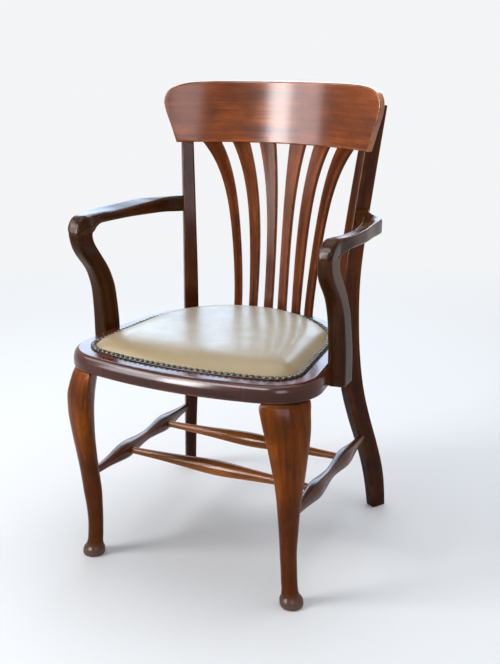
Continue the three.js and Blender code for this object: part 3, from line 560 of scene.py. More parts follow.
side = np.array([cos(FLARE), sin(FLARE)])
forward = np.array([side[1], -side[0]])
bow_centre = np.array([0.0, BOW_RADIUS - SEAT_FORWARD])
corner_start = side * (SEAT_RADIUS - CORNER_RADIUS)
from_bow = corner_start - bow_centre
along_side = forward @ from_bow
run = sqrt(along_side**2 - from_bow @ from_bow + (BOW_RADIUS - CORNER_RADIUS) ** 2) - along_side
corner_centre = corner_start + forward * run
BOW_ANGLE = atan2(corner_centre[1] - bow_centre[1], corner_centre[0] - bow_centre[0])
ARCS = {
    "back": (np.zeros(2), SEAT_RADIUS),
    "corner": (corner_centre, CORNER_RADIUS),
    "bow": (bow_centre, BOW_RADIUS),
}


def arc(kind, start, end, count):
    """Stations along an arc of the seat: a centre, a radius and an angle each."""
    return [(*ARCS[kind], a) for a in np.linspace(start, end, count + 1)]


def rim_point(station, inset, z):
    centre, radius, angle = station
    reach = radius - inset
    return np.array([centre[0] + reach * cos(angle), centre[1] + reach * sin(angle), z])


def rim_ring(inset, z):
    """The seat's whole outline, drawn in by inset."""
    return np.array([rim_point(station, inset, z) for station in whole_rim])


# Along the straight side the angle stays and the centre moves forward
to_corner = [(corner_start + forward * run * s, CORNER_RADIUS, FLARE) for s in np.linspace(0, 1, 15)]
to_corner += arc("corner", FLARE, BOW_ANGLE, 26)[1:]
half_rim = arc("back", QUARTER, FLARE, 44)[:-1] + to_corner + arc("bow", BOW_ANGLE, -QUARTER, 24)[1:]
whole_rim = half_rim + [(c * (-1, 1), r, pi - a) for c, r, a in half_rim[1:-1][::-1]]


def rail_section():
    """The rail's moulded section: eased below, a bullnose, a quirk under the flat top, a rebate."""
    top, ledge, nose = RAIL_THICKNESS, RAIL_THICKNESS - REBATE_DEPTH, RAIL_THICKNESS - QUIRK
    points = [(40.0, 0.0), (20.0, 0.0), (9.0, 0.0)]
    for a in np.linspace(0, QUARTER, 5):
        points.append((EASE * (1 - sin(a)), EASE * (1 - cos(a))))
    points += [(0.0, 5.0), (0.0, 8.0)]
    for a in np.linspace(0, BULLNOSE_TURN, 13):
        points.append((BULLNOSE * (1 - cos(a)), BULLNOSE_START + (nose - BULLNOSE_START) * sin(a)))
    points.append((BULLNOSE + 0.05, nose + 0.35))
    for a in np.linspace(0, QUARTER, 4):
        points.append((BULLNOSE + LIP * (1 - cos(a)), top - LIP * (1 - sin(a))))
    points += [(inset, top) for inset in (14.0, 22.0, 32.0, REBATE_INSET)]
    points += [(inset, ledge) for inset in (REBATE_INSET, 58.0, RAIL_WIDTH - 0.6)]
    points += [(RAIL_WIDTH, height) for height in (ledge - 0.6, 12.0, 1.0)]
    return points + [(RAIL_WIDTH - 1.0, 0.0), (60.0, 0.0)]


def rail_data(stations):
    section = rail_section()
    rings = [np.array([rim_point(s, i, RAIL_BOTTOM + h) for i, h in section]) for s in stations]
    along = way_along(np.array([rim_point(s, 20.0, RAIL_BOTTOM) for s in stations]))
    return loft_data(rings, [(s, i, h) for s in along for i, h in section])


FRONT_JOINT = -acos(140.0 / BOW_RADIUS)
BACK_JOINT = radians(17)
front_end = FRONT_JOINT - GAP / BOW_RADIUS
back_end = BACK_JOINT + GAP / (SEAT_RADIUS - RAIL_WIDTH)
side_stations = arc("back", BACK_JOINT, FLARE, 8)[:-1] + to_corner
side_stations += arc("bow", BOW_ANGLE, FRONT_JOINT, 8)[1:]
front, back = arc("bow", front_end, -pi - front_end, 40), arc("back", back_end, pi - back_end, 84)
make("seat_rail_front", rail_data(front), frame_wood, "frame_wood", ["seat_front_rail"], 90)
make_pair("seat_rail_side", rail_data(side_stations), frame_wood, "frame_wood", "seat_side_rail", 410)
make("seat_rail_back", rail_data(back), frame_wood, "frame_wood", ["seat_back_rail"], 1200)

# Crest rail

CREST_BOTTOM = 796.5
CREST_HEIGHT = 126.5
CREST_HALF = 237.0
CREST_RADIUS = 350.0
CREST_FRONT = 253.0
CREST_THICKNESS = 20.0
CREST_ROUND = 3.2
CREST_LEAN = 0.12
CREST_SPLAY = 3.0
CREST_AXIS = CREST_FRONT - CREST_RADIUS
# Height and half width, as shares of the whole
OUTLINE = [(0, 0.903), (0.03, 0.908), (0.14, 0.925), (0.28, 0.946), (0.42, 0.97), (0.565, 0.991),
           (0.67, 1), (0.76, 0.995), (0.82, 0.983), (0.875, 0.96), (0.92, 0.92), (0.96, 0.86),
           (0.985, 0.77), (1, 0.6)]


def crest_place(x, z, behind):
    reach = CREST_RADIUS + behind
    lean = CREST_LEAN * (z - CREST_BOTTOM)
    return np.array([x, CREST_AXIS + lean + sqrt(reach**2 - x**2), z])


def border(grid):
    """The cells round a grid, from its first corner and back to it."""
    return np.concatenate([grid[0, :-1], grid[:-1, -1], grid[-1, :0:-1], grid[:0:-1, 0]])


def crest_data():
    """A bent slab: a grid of points in front and one behind, joined by layers round the arris."""
    half = monotone(*zip(*OUTLINE))
    rows = np.concatenate([np.linspace(0, 0.82, 24), 1 - 0.18 * (1 - np.linspace(0, 1, 18)[1:]) ** 1.8])
    columns = np.linspace(-1, 1, 97)
    layers = [(CREST_ROUND * (1 - sin(a)), CREST_ROUND * (1 - cos(a)))
              for a in np.linspace(0, QUARTER, 5)]
    layers += [(inset, CREST_THICKNESS - behind) for inset, behind in layers[::-1]]
    points, grain = [], []

    def add(share, column, inset, behind):
        """Adds one point of the slab and gives its number."""
        h = inset + share * (CREST_HEIGHT - 2 * inset)
        splay = 1 + CREST_SPLAY * half(share) / CREST_HALF * behind / CREST_THICKNESS
        x = (CREST_HALF * half(share) - inset) * column * splay
        points.append(crest_place(x, CREST_BOTTOM + h, behind))
        grain.append((CREST_RADIUS * asin(min(1, x / (CREST_RADIUS + behind))), h, behind))
        return len(points) - 1

    front, back = (np.array([[add(r, c, *layer) for c in columns] for r in rows])
                   for layer in (layers[0], layers[-1]))
    edge = border(np.stack(np.meshgrid(rows, columns, indexing="ij"), -1))
    loops = [border(front)] + [[add(r, c, *layer) for r, c in edge] for layer in layers[1:-1]]
    faces = quads(loops + [border(back)])
    faces += [face[::-1] for face in quads(front, False)] + quads(back, False)
    return points, faces, grain


make("crest", crest_data(), crest_wood, "crest_wood", ["crest_rail"], 3100)

# Slats

SLAT_FOOT = 224.0
SLAT_FOOT_RADIUS = 254.0
SLAT_TOP = CREST_FRONT + 3
SLAT_TOP_RADIUS = CREST_RADIUS + 3
SLAT_TOP_REACH = 167.0
SLAT_BELLY = 3.4
SLAT_THICKNESS = 12.0
SLAT_ROUND = 2.2
SLAT_TENON = 10.0
# The inner and the outer edge of each slat: foot, flare, share of the early curve, power of the late one
SLAT_EDGES = [
    ((0.443, 0.341, 0.65, 6.3), (0.539, 0.461, 0.54, 5.9)),
    ((0.246, 0.195, 0.0, 3.2), (0.351, 0.299, 0.41, 4.85)),
    ((0.04, 0.06, 0.0, 3.6), (0.151, 0.159, 0.0, 3.5)),
]


def slat_edge(values, share):
    foot, flare, early, power = values
    rise = max(share, 0.0)
    return SLAT_TOP_REACH * (foot + flare * (early * rise**1.5 + (1 - early) * rise**power))


def barrel_place(x, z, behind):
    """A point of the bent back that the slats stand in."""
    share = (z - SEAT_TOP) / (CREST_BOTTOM - SEAT_TOP)
    radius = SLAT_FOOT_RADIUS + (SLAT_TOP_RADIUS - SLAT_FOOT_RADIUS) * share
    middle = SLAT_FOOT + (SLAT_TOP - SLAT_FOOT) * share + SLAT_BELLY * 4 * share * (1 - share)
    angle = asin(x / radius)
    reach = radius + behind
    return np.array([reach * sin(angle), middle - radius + reach * cos(angle), z])


def slat_data(edges):
    half = SLAT_THICKNESS / 2
    rings = []
    for z in np.linspace(SEAT_TOP - SLAT_TENON, CREST_BOTTOM + SLAT_TENON, 60):
        share = (z - SEAT_TOP) / (CREST_BOTTOM - SEAT_TOP)
        inner, outer = (slat_edge(edge, share) for edge in edges)
        flat = rounded_ring(AXIS_X * (inner + outer) / 2 + AXIS_Y * half, AXIS_X, AXIS_Y,
                            (outer - inner) / 2, half, SLAT_ROUND)
        rings.append(np.array([barrel_place(p[0], z, p[1]) for p in flat]))
    return loft_data(rings)


for i, edges in enumerate(SLAT_EDGES):
    data = slat_data(edges)
    for number, flip, offset in ((i + 1, True, 517.0 * i + 60), (6 - i, False, 911.0 * i + 2230)):
        make(f"slat_{number}", data, slat_wood, "slat_wood", [f"back_slat_{number}"], offset, flip=flip)

# Back posts

POST_TURN = radians(32.8)
POST_HEIGHT = 884.0
POST_ROUND = 3.4
OUTWARD = np.array([cos(POST_TURN), -sin(POST_TURN), 0.0])
BACKWARD = np.array([sin(POST_TURN), cos(POST_TURN), 0.0])
POST_PLACE = radians(43.927)
POST_BASE = (SEAT_RADIUS + 6.338) * np.array([cos(POST_PLACE), sin(POST_PLACE), 0.0])
POST_KNOTS = POST_HEIGHT * np.array([0, 0.09, 0.155, 0.24, 0.33, 0.42, 0.53, 0.62, 0.69, 0.78, 0.9, 1])
# The greatest measure and its shares at the knots
post_sweep, post_half_width, post_half_depth = (natural(POST_KNOTS, size * np.array(s)) for size, s in (
    (115.0, [1, 0.895, 0.755, 0.52, 0.305, 0.178, 0.113, 0.127, 0.19, 0.298, 0.455, 0.59]),
    (15.0, [0.83, 0.86, 0.88, 0.93, 0.97, 1, 1, 0.96, 0.92, 0.88, 0.84, 0.82]),
    (21.0, [0.83, 0.95, 0.98, 1, 1, 1, 0.99, 0.96, 0.94, 0.93, 0.91, 0.88]),
))


def post_centre(z):
    return POST_BASE + BACKWARD * post_sweep(z) + UP * z


def post_data():
    """From the floor to behind the crest, cut back where the crest laps over it."""
    levels = [0.0, 0.7, 2.0, *np.linspace(8, CREST_BOTTOM - GAP, 72), CREST_BOTTOM - 0.295]
    levels += [*np.linspace(CREST_BOTTOM + 6, POST_HEIGHT - 3, 10), POST_HEIGHT - 1.6, POST_HEIGHT - 0.6,
               POST_HEIGHT]
    rings = []
    for z in levels:
        inset = 1.6 * max(0.0, 1 - z / 2.0) ** 2 + 2.2 * max(0.0, (z - POST_HEIGHT + 3) / 3) ** 2
        ring = rounded_ring(post_centre(z), OUTWARD, BACKWARD, post_half_width(z) - inset,
                            post_half_depth(z) - inset, POST_ROUND)
        if z > CREST_BOTTOM - GAP:
            for p in ring:
                p[1] = max(p[1], crest_place(p[0], z, CREST_THICKNESS)[1] + 0.25)
        rings.append(ring)
    return loft_data(rings)


make_pair("post", post_data(), post_wood, "arm_wood", "back_post", 1500)

# Arms

ARM_TOP = 684.0
ARM_HALF = 17.0
ARM_MIDDLE = ARM_TOP - ARM_HALF
ARM_BOTTOM = ARM_MIDDLE - ARM_HALF
ARM_REACH = 281.0
ARM_FORWARD = 154.0
KNUCKLE_DROP = 0.94
INNER = [(0.744, -1.045), (0.783, -0.929), (0.809, -0.779), (0.829, -0.636), (0.847, -0.468),
         (0.863, -0.234), (0.874, 0), (0.879, 0.208), (0.884, 0.416), (0.876, 0.61), (0.857, 0.779)]
OUTER = [(0.792, -1.18), (0.844, -1), (0.925, -0.8), (0.967, -0.69), (0.978, -0.545),
         (0.984, -0.3), (0.997, 0), (0.999, 0.195), (0.996, 0.468), (0.986, 0.636), (0.963, 0.779)]
ALONG = [0, 0.1, 0.2, 0.3, 0.4, 0.5, 0.6, 0.7, 0.8, 0.87, 0.93, 1]
arm_fall = natural(ALONG, [0, 0.05, 0.15, 0.18, 0.22, 0.27, 0.26, 0.19, 0.11, 0.06, 0.02, 0])
arm_rise = monotone(ALONG, [0, 0.04, 0.07, 0.09, 0.12, 0.17, 0.2, 0.24, 0.27, 0.18, 0, 0])
arm_lean = monotone(ALONG, [0, 0, 0, 0, 0, 0, 0, 0.06, 0.2, 0.31, 0.335, 0.08])
arm_tuck = monotone(ALONG, [0, 0, 0, 0, 0, 0, 0, 0.05, 0.24, 0.5, 0.676, 0.31])
arm_under = monotone(ALONG, [7, 7, 7, 7, 7, 7, 7, 6.8, 6, 4, 0.8, 0.6])
SUPPORT_INNER = SEAT_RADIUS - 1
SUPPORT_OUTER = SUPPORT_INNER + 27.3
SUPPORT_FRONT = 152.0
SUPPORT_ROUND = 6.5
SUPPORT_TOP_HALF = 26.65
SUPPORT_TOP_LEAN = 1.275


def arm_ring(centre, across, wide, half, shares, radii):
    """A section of the arm: inner top edge let down, underside raised, lower edges drawn in."""
    fall, rise, lean, tuck = (ARM_HALF * max(v, 0.0) for v in shares)
    ring = rounded_ring(centre, across, UP, wide, half, radii, 6)
    for p in ring:
        d = p - centre
        inward, high = 1 - d @ across / wide, 1 + d[2] / half
        p += UP * (rise * (2 - high) - fall * inward * high / 2)
        p -= across * (lean * inward + tuck * (2 - inward)) * (2 - high) / 4
    return ring


def support_edges(y):
    """Inner and outer side of the support's top, round at its front corners."""
    ahead = min(max(y + SUPPORT_FRONT, 0.0), SUPPORT_ROUND)
    corner = SUPPORT_ROUND - sqrt(SUPPORT_ROUND**2 - (SUPPORT_ROUND - ahead) ** 2)
    back = (y + SUPPORT_FRONT) / SUPPORT_TOP_HALF
    return SUPPORT_INNER + SUPPORT_TOP_LEAN * back + corner, SUPPORT_OUTER - corner


def arm_data():
    """The board from the post forwards, and the knuckle that rolls down to the support."""
    joint = post_centre(ARM_MIDDLE) + OUTWARD * (post_half_width(ARM_MIDDLE) + GAP)
    deep = post_half_depth(ARM_MIDDLE) - 3
    rings = [arm_ring(joint, BACKWARD, deep, ARM_HALF, (0, 0, 0, 0), (6, 8, 7, 7))]
    inner, outer = (plan_curve(np.array(edge) * (ARM_REACH, -ARM_FORWARD)) for edge in (INNER, OUTER))
    for share in np.linspace(0, 1, 27)[1:]:
        near, far = inner(share), outer(share)
        wide = np.linalg.norm(far - near) / 2
        across = np.array([*(far - near), 0.0]) / (2 * wide)
        shares = [f(share) for f in (arm_fall, arm_rise, arm_lean, arm_tuck)]
        under = arm_under(share)
        rings.append(arm_ring(np.array([*(near + far) / 2, ARM_MIDDLE]), across, wide, ARM_HALF, shares,
                              (6, 8, under, under)))
    rings = refined(rings, 3)
    start = inner(1.0)[1]
    for turn in np.linspace(0, QUARTER, 19)[1:]:
        high = 1 - KNUCKLE_DROP * (1 - cos(turn)) ** 1.1
        height = ARM_HALF * high
        y = start - (SUPPORT_FRONT + 0.4 + start) * sin(turn)
        lean, tuck = arm_lean(1) * high, arm_tuck(1) * high
        near, far = support_edges(y)
        near, far = near + ARM_HALF * lean, far + ARM_HALF * tuck
        centre = np.array([(near + far) / 2, y, ARM_BOTTOM + height])
        top = min(8 + 3.5 * sin(turn), height * 0.95)
        rings.append(arm_ring(centre, AXIS_X, (far - near) / 2, height, (0, 0, lean, tuck),
                              (top, top, 0.6, 0.6)))
    return loft_data(rings)


make_pair("arm", arm_data(), arm_wood, "arm_wood", "arm", 2400)

SUPPORT_BOTTOM = RAIL_BOTTOM - 9
SUPPORT_RISE = ARM_BOTTOM - 0.1 - SUPPORT_BOTTOM
SUPPORT_WIDTH = 31.0
SUPPORT_SKEW = 5.5
SUPPORT_TAPER = 8.5
SUPPORT_FILLET = 4.5
SUPPORT_KNOTS = [0, 0.167, 0.3, 0.45, 0.54, 0.61, 0.69, 0.77, 0.85, 0.92, 1]
support_front, support_rear, support_wide, support_turn = (natural(SUPPORT_KNOTS, values) for values in (
    [0.5, 0.506, 0.514, 0.542, 0.571, 0.614, 0.682, 0.792, 0.903, 0.961, 0.987],
    [0.2, 0.205, 0.22, 0.262, 0.297, 0.342, 0.408, 0.502, 0.602, 0.664, 0.67],
    [1.03, 1.02, 1, 0.96, 0.94, 0.92, 0.9, 0.89, 0.88, 0.87, 0.88],
    [1, 1, 1, 1.1, 1.15, 1.1, 1, 0.9, 0.72, 0.25, -0.3],
))


def support_data():
    """An S from the side rail to the arm that turns about its own axis as it falls."""
    rings = []
    for rise in [0, 0.8, 2.5, *np.linspace(6, SUPPORT_RISE, 76)]:
        share = rise / SUPPORT_RISE
        front = -ARM_FORWARD * support_front(share)
        fillet = SUPPORT_FILLET * max(0.0, 1 - (SUPPORT_RISE - rise) / 8) ** 2
        rear = -ARM_FORWARD * support_rear(share) + fillet
        inset = 1.8 * max(0.0, 1 - rise / 2.5) ** 2
        wide, deep = SUPPORT_WIDTH * support_wide(share) / 2, (rear - front) / 2
        turn = support_turn(share)
        centre = np.array([SUPPORT_INNER + wide, (front + rear) / 2, SUPPORT_BOTTOM + rise])
        ring = rounded_ring(centre, AXIS_X, AXIS_Y, wide - inset, deep - inset, SUPPORT_ROUND, 6)
        for p in ring:
            across, back = (p[0] - centre[0]) / wide, 1 + (p[1] - centre[1]) / deep
            p[0] -= SUPPORT_TAPER * turn * (1 - across) * back / 4
            p[1] += SUPPORT_SKEW * turn * across / 2
        rings.append(ring)
    return loft_data(rings)


make_pair("support", support_data(), arm_wood, "arm_wood", "arm_support", 3300)

# Front legs

LEG_TOP = RAIL_BOTTOM - GAP
LEG_BLOCK = 98.0
KNEE_ROLL = 11.0
FOOT = np.array([219.0, -183.0, 0.0])
DIAGONAL = np.array([sqrt(0.5), -sqrt(0.5), 0.0])
CROSSWAYS = np.array([sqrt(0.5), sqrt(0.5), 0.0])
# Height, place forward, place outward, width, depth and squareness of the section's oval
LEG = [
    (0, 0, 0, 0.41, 0.41, 2), (0.012, 0, 0, 0.46, 0.46, 2), (0.032, 0, -0.01, 0.45, 0.44, 2),
    (0.055, 0, -0.03, 0.35, 0.35, 2), (0.09, -0.01, -0.05, 0.315, 0.315, 2),
    (0.17, -0.01, -0.07, 0.315, 0.31, 2), (0.26, 0.01, -0.08, 0.32, 0.33, 2),
    (0.36, 0.04, -0.07, 0.36, 0.37, 2), (0.46, 0.085, -0.055, 0.42, 0.375, 1.95),
    (0.56, 0.13, -0.035, 0.5, 0.4, 1.85), (0.67, 0.178, -0.02, 0.63, 0.45, 1.7),
    (0.77, 0.215, -0.022, 0.76, 0.505, 1.5), (0.86, 0.225, -0.045, 0.88, 0.54, 1.35),
    (0.93, 0.215, -0.085, 0.95, 0.56, 1.25), (0.98, 0.195, -0.115, 0.99, 0.58, 1.2),
    (1, 0.185, -0.135, 0.96, 0.56, 1.2),
]
leg_heights, *leg_columns = zip(*LEG)
leg_ahead, leg_out, leg_wide, leg_deep, leg_power = (monotone(leg_heights, c) for c in leg_columns)


def leg_centre(z):
    share = z / LEG_TOP
    return FOOT + LEG_BLOCK * np.array([leg_out(share), -leg_ahead(share), 0]) + UP * z


def leg_data():
    """A cabriole leg whose knee rolls in under the rail, from the pad foot up."""
    shares = [*np.linspace(0, 0.1, 22), *np.linspace(0.1, 0.985, 78)[1:], 0.99, 0.994, 0.997, 0.999, 1.0]
    c, s = np.cos(around(56)), np.sin(around(56))
    rings = []
    for share in shares:
        power = leg_power(share)
        rounding = 3.0 * max(0.0, (share - 0.988) / 0.012) ** 2
        half_deep = LEG_BLOCK * leg_deep(share) / 2 - rounding
        half_wide = LEG_BLOCK * leg_wide(share) / 2 - rounding
        roll = KNEE_ROLL * max(0.0, (share - 0.87) / 0.13) ** 1.5
        ahead = np.where(c > 0, bulged(c, max(power, 1.9)), bulged(c, power))
        ahead = ahead * half_deep - roll * np.maximum(ahead, 0) ** 0.5
        aslant = bulged(s, power) * half_wide
        rings.append(in_space(leg_centre(LEG_TOP * share), DIAGONAL, CROSSWAYS, ahead, aslant))
    return loft_data(rings)


make_pair("leg", leg_data(), leg_wood, "leg_wood", "front_leg", 4100)

# Stretchers

STRETCHER_Z = 180.0
CROSS_FRONT = -56.0
# Half the greatest width and height
SIDE_HALVES = (15.13, 17.0)
CROSS_HALVES = (15.5, 15.5)
# Share of the length and of the greatest thickness
SIDE_SHARES = [(0, 0.42), (0.07, 0.47), (0.16, 0.62), (0.24, 0.86), (0.31, 1), (0.38, 0.86), (0.46, 0.66),
               (0.5, 0.62), (0.54, 0.66), (0.62, 0.86), (0.69, 1), (0.76, 0.86), (0.84, 0.62), (0.93, 0.47),
               (1, 0.42)]
CROSS_SHARES = [(0, 0.42), (0.05, 0.46), (0.2, 0.6), (0.36, 0.83), (0.44, 0.96), (0.5, 1), (0.56, 0.96),
                (0.64, 0.83), (0.8, 0.6), (0.95, 0.46), (1, 0.42)]
leg_at = leg_centre(STRETCHER_Z)
post_at = post_centre(STRETCHER_Z)


def stretcher_data(start, end, across, halves, power, count, shares):
    """A turned bar that swells between its thin ends."""
    thick = natural(*zip(*shares))
    rings = []
    for share in np.linspace(0, 1, 110):
        wide, high = (half * thick(share) for half in halves)
        rings.append(oval_ring(start + (end - start) * share, across, UP, wide, high, power, count))
    return loft_data(rings)


def cross_stretcher(name, y, node, offset):
    half = leg_at[0] + (post_at[0] - leg_at[0]) * (y - leg_at[1]) / (post_at[1] - leg_at[1]) - 2
    start, end = (np.array([x, y, STRETCHER_Z]) for x in (-half, half))
    data = stretcher_data(start, end, AXIS_Y, CROSS_HALVES, 2, 36, CROSS_SHARES)
    make(name, data, cross_wood, "leg_wood", [node], offset)


axis = (post_at - leg_at) / np.linalg.norm(post_at - leg_at)
side_data = stretcher_data(leg_at + axis * 3, post_at - axis * 3, np.cross(axis, UP), SIDE_HALVES, 2.7, 40,
                           SIDE_SHARES)
make_pair("stretcher_side", side_data, side_wood, "leg_wood", "side_stretcher", 5200)
cross_stretcher("stretcher_rear", CROSS_BACK, "cross_stretcher_rear", 6100)
cross_stretcher("stretcher_front", CROSS_FRONT, "cross_stretcher_front", 6900)

# Upholstery

LEATHER_INSET = 33.0
LEATHER_FLAT = 11.6
LEATHER_UNDER = SEAT_TOP + GAP
LEATHER_TOP = LEATHER_UNDER + 2.0
CROWN = 22.0
CROWN_RUN = SEAT_RADIUS - LEATHER_INSET - LEATHER_FLAT
SHOULDER = 22.0
NAIL_INSET = 38.5
NAIL_RADIUS = 5.3
NAIL_HEIGHT = 3.3
NAIL_SIDES = 18
NAIL_OFF = 0.35
# How far out and how high each row of points on a nail's dome lies, as shares
DOME = [(0.86, 0.0), (1.0, 0.1), (1.0, 0.26), (0.94, 0.5), (0.8, 0.74), (0.58, 0.91), (0.3, 0.985)]

nail_line = rim_ring(NAIL_INSET, 0.0)
nail_line = np.concatenate([nail_line, nail_line[:1]])
nail_along = way_along(nail_line)
NAIL_COUNT = round(nail_along[-1] / 11.5)
NAIL_PITCH = nail_along[-1] / NAIL_COUNT


def crown_rise(inward):
    return CROWN * (1 - (1 - max(inward, 0.0) / CROWN_RUN) ** 8)


def leather_data():
    """The cover: turned in at its edge, pulled down beside each nail and crowned over the pad."""
    rings, rims = [], []
    phases = np.cos(nail_along[:-1] / NAIL_PITCH * 2 * pi)

    # rim is 2 on the turned-in edge and the strip under the nails, which the hide's material paints dark as
    # shade
    def add(ring, rim):
        rings.append(ring)
        rims.extend([rim] * len(whole_rim))

    under = [(47.5, 1.1), (46.0, 0), (40.0, 0), (33.6, 0), (33.1, 0.4), (33.0, 1.0), (33.25, 1.7)]
    for inset, rise in under:
        add(rim_ring(inset, LEATHER_UNDER + rise), 2.0)
    flat_end = LEATHER_INSET + LEATHER_FLAT
    insets = list(np.linspace(LEATHER_INSET, flat_end, 9)[1:])
    insets += list(flat_end + SHOULDER * np.linspace(0, 1, 24)[1:] ** 1.25)
    for inset in insets:
        inward = inset - flat_end
        pull = 0.55 * exp(-max(inward, 0.0) / 5.5) * (1 if inward > -3 else 0.3)
        ring = rim_ring(inset, LEATHER_TOP + crown_rise(inward))
        ring[:, 2] -= pull * (0.5 + 0.5 * phases) * min(1.0, max(inward + 4, 0) / 5)
        add(ring, 2.0 if inset < 38 else exp(-max(inward, 0.0) / 26))
    last = rings[-1]
    for scale in np.linspace(1, 0, 40)[1:-1]:
        ring = SEAT_MIDDLE + (last - SEAT_MIDDLE) * scale
        ring[:, 2] = LEATHER_TOP + crown_rise(SHOULDER * scale + CROWN_RUN * (1 - scale))
        add(ring, exp(-(SHOULDER + (1 - scale) * 150) / 26))
    for ring in rings[len(under):]:
        for p in ring:
            wave = noise.noise(Vector((p[0] / 85, p[1] / 85, 1.7))) * 0.75
            wave += noise.noise(Vector((p[0] / 34, p[1] / 34, 8.3))) * 0.22
            p[2] += wave * min(1.0, max(0.0, (p[2] - LEATHER_TOP) / 12))
    top = SEAT_MIDDLE + UP * rings[-1][:, 2].mean()
    points = np.concatenate(rings + [[top, SEAT_MIDDLE + UP * (LEATHER_UNDER + 1.1)]])
    return (points, peaked_faces(len(rings), len(whole_rim)), points), rims + [0.0, 1.0]


leather, rim = leather_data()
seat = make("seat_leather", leather, hide, "leather", ["leather_cover", "seat_stuffing"], sharp=60, rim=rim)


def nail_data():
    """Domed heads side by side, each a little off its place and tilted, as hammered by hand."""
    random = np.random.default_rng(11)
    out, high = (np.repeat(values, NAIL_SIDES) for values in zip(*DOME))
    angles = np.tile(around(NAIL_SIDES), len(DOME))
    dome = peaked_faces(len(DOME), NAIL_SIDES)
    points, faces, crowns = [], [], []
    for k in range(NAIL_COUNT):
        s = ((k + 0.5) * NAIL_PITCH + random.uniform(-NAIL_OFF, NAIL_OFF)) % nail_along[-1]
        i = np.searchsorted(nail_along, s) - 1
        way = nail_line[i + 1] - nail_line[i]
        tangent = way / np.linalg.norm(way)
        aside = np.array([-tangent[1], tangent[0], 0.0])
        middle = nail_line[i] + tangent * (s - nail_along[i]) + aside * random.uniform(-NAIL_OFF, NAIL_OFF)
        middle[2] = LEATHER_TOP - 0.25
        tilt = random.normal(0, 0.045, 2)
        radius = NAIL_RADIUS * random.uniform(0.97, 1.03)
        x, y = radius * out * np.cos(angles), radius * out * np.sin(angles)
        z = NAIL_HEIGHT * high + (x * tilt[0] + y * tilt[1]) * high
        faces += [tuple(len(points) + n for n in face) for face in dome]
        points += [*(middle + np.stack([x, y, z], 1)), middle + UP * NAIL_HEIGHT, middle]
        crowns += [*np.maximum(0.0, high - 0.35) / 0.65, 1.0, 0.0]
    return (points, faces, points), crowns


nails, crown = nail_data()
make("nail_heads", nails, bronze, "nail_bronze", ["upholstery_nails"], sharp=60, crown=crown)

# Webbing and hessian, seen from below

WEB_BASE = SEAT_TOP - REBATE_DEPTH + GAP
WEB_THICK = 1.6
WEB_PITCH = 76.0
WEB_INSET = 50.0
WEB_INNER = SEAT_RADIUS - WEB_INSET
WEB_SPREAD = [24.5, 15, 5, -5, -15, -24.5]
WEB_SECTION = [(-25, 0.5)] + [(-a, 0) for a in WEB_SPREAD] + [(25, 0.5), (25, 1.1)]
WEB_SECTION += [(a, WEB_THICK) for a in WEB_SPREAD] + [(-25, 1.1)]
STRIPE_PLACE = 16.0
STRIPE_WIDTH = 1.6
ROWS = [-1.5, -0.5, 0.5, 1.5]
HESSIAN_BASE = WEB_BASE + 2 * WEB_THICK + 2 * GAP
HESSIAN_THICK = 0.85


def half_well(y):
    """Half the width of the seat's well, where the webbing ends."""
    if y > 20:
        return sqrt(max(WEB_INNER**2 - y**2, 0))
    reach = (WEB_INNER - y * sin(FLARE)) / cos(FLARE)
    if y >= corner_centre[1]:
        return reach
    left = (CORNER_RADIUS - WEB_INSET) ** 2 - (y - corner_centre[1]) ** 2
    return min(reach, corner_centre[0] + sqrt(max(left, 0)))


def strap_data(row, along_x, node):
    """A strap woven over and under the others, with its ends following the rebate, as the solids' do."""
    low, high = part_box(node)
    start, end = (low.x / MM, high.x / MM) if along_x else (low.y / MM - SHIFT, high.y / MM - SHIFT)
    here, there = (SEAT_MIDDLE[1], 0) if along_x else (0, SEAT_MIDDLE[1])
    middle = WEB_PITCH * ROWS[row] + here
    crossings = [there + WEB_PITCH * place for i, place in enumerate(ROWS) if (row + i + along_x) % 2]
    rings = []
    for t in np.linspace(start, end, 150):
        lift = max(1 - smooth_share(abs(t - crossing), 25.5, 30.5) for crossing in crossings)
        z = WEB_BASE + lift * (WEB_THICK + GAP)
        rings.append(np.array([(t, middle + aside, z + rise) for aside, rise in WEB_SECTION]))
    points, faces, grain = loft_data(rings, np.concatenate(rings))
    stripe = [exp(-((abs(aside) - STRIPE_PLACE) / STRIPE_WIDTH) ** 2) for aside, _ in WEB_SECTION]
    if not along_x:
        points = points[:, [1, 0, 2]]
    for p in points:
        if along_x:
            reach = half_well(p[1])
            p[0] = min(max(p[0], -reach), reach)
        else:
            front = bow_centre[1] - sqrt((BOW_RADIUS - WEB_INSET) ** 2 - p[0] ** 2)
            p[1] = min(max(p[1], front), sqrt(WEB_INNER**2 - p[0] ** 2))
    return (points, faces, grain), stripe * len(rings)


for row in range(4):
    for along_x, run_name in ((False, "long"), (True, "cross")):
        ending = f"{run_name}_{row + 1}"
        data, stripe = strap_data(row, along_x, f"webbing_{ending}")
        make(f"strap_{ending}", data, webbing_cloth, "jute", [f"webbing_{ending}"], 13.0 * row, sharp=60,
             stripe=stripe)


def hessian_data():
    """A thin and slightly uneven cloth over the webbing."""
    outline = rim_ring(48.0, 0.0)
    under = []
    for scale in np.linspace(1, 0.03, 40):
        ring = SEAT_MIDDLE + (outline - SEAT_MIDDLE) * scale
        for p in ring:
            p[2] = HESSIAN_BASE + 0.12 * noise.noise(Vector((p[0] / 30, p[1] / 30, 4.1)))
        under.append(ring)
    rings = [ring + UP * HESSIAN_THICK for ring in under[::-1]] + under
    return loft_data(rings, np.concatenate(rings))


make("hessian_cloth", hessian_data(), hessian_cloth, "jute", ["hessian"], sharp=60)

# Stage

PALE = (0.9, 0.91, 0.92)
FLOOR_RADIUS = 14
FLOOR_CORNERS = 64
FLOOR_FADE = (0.9, 3.2)

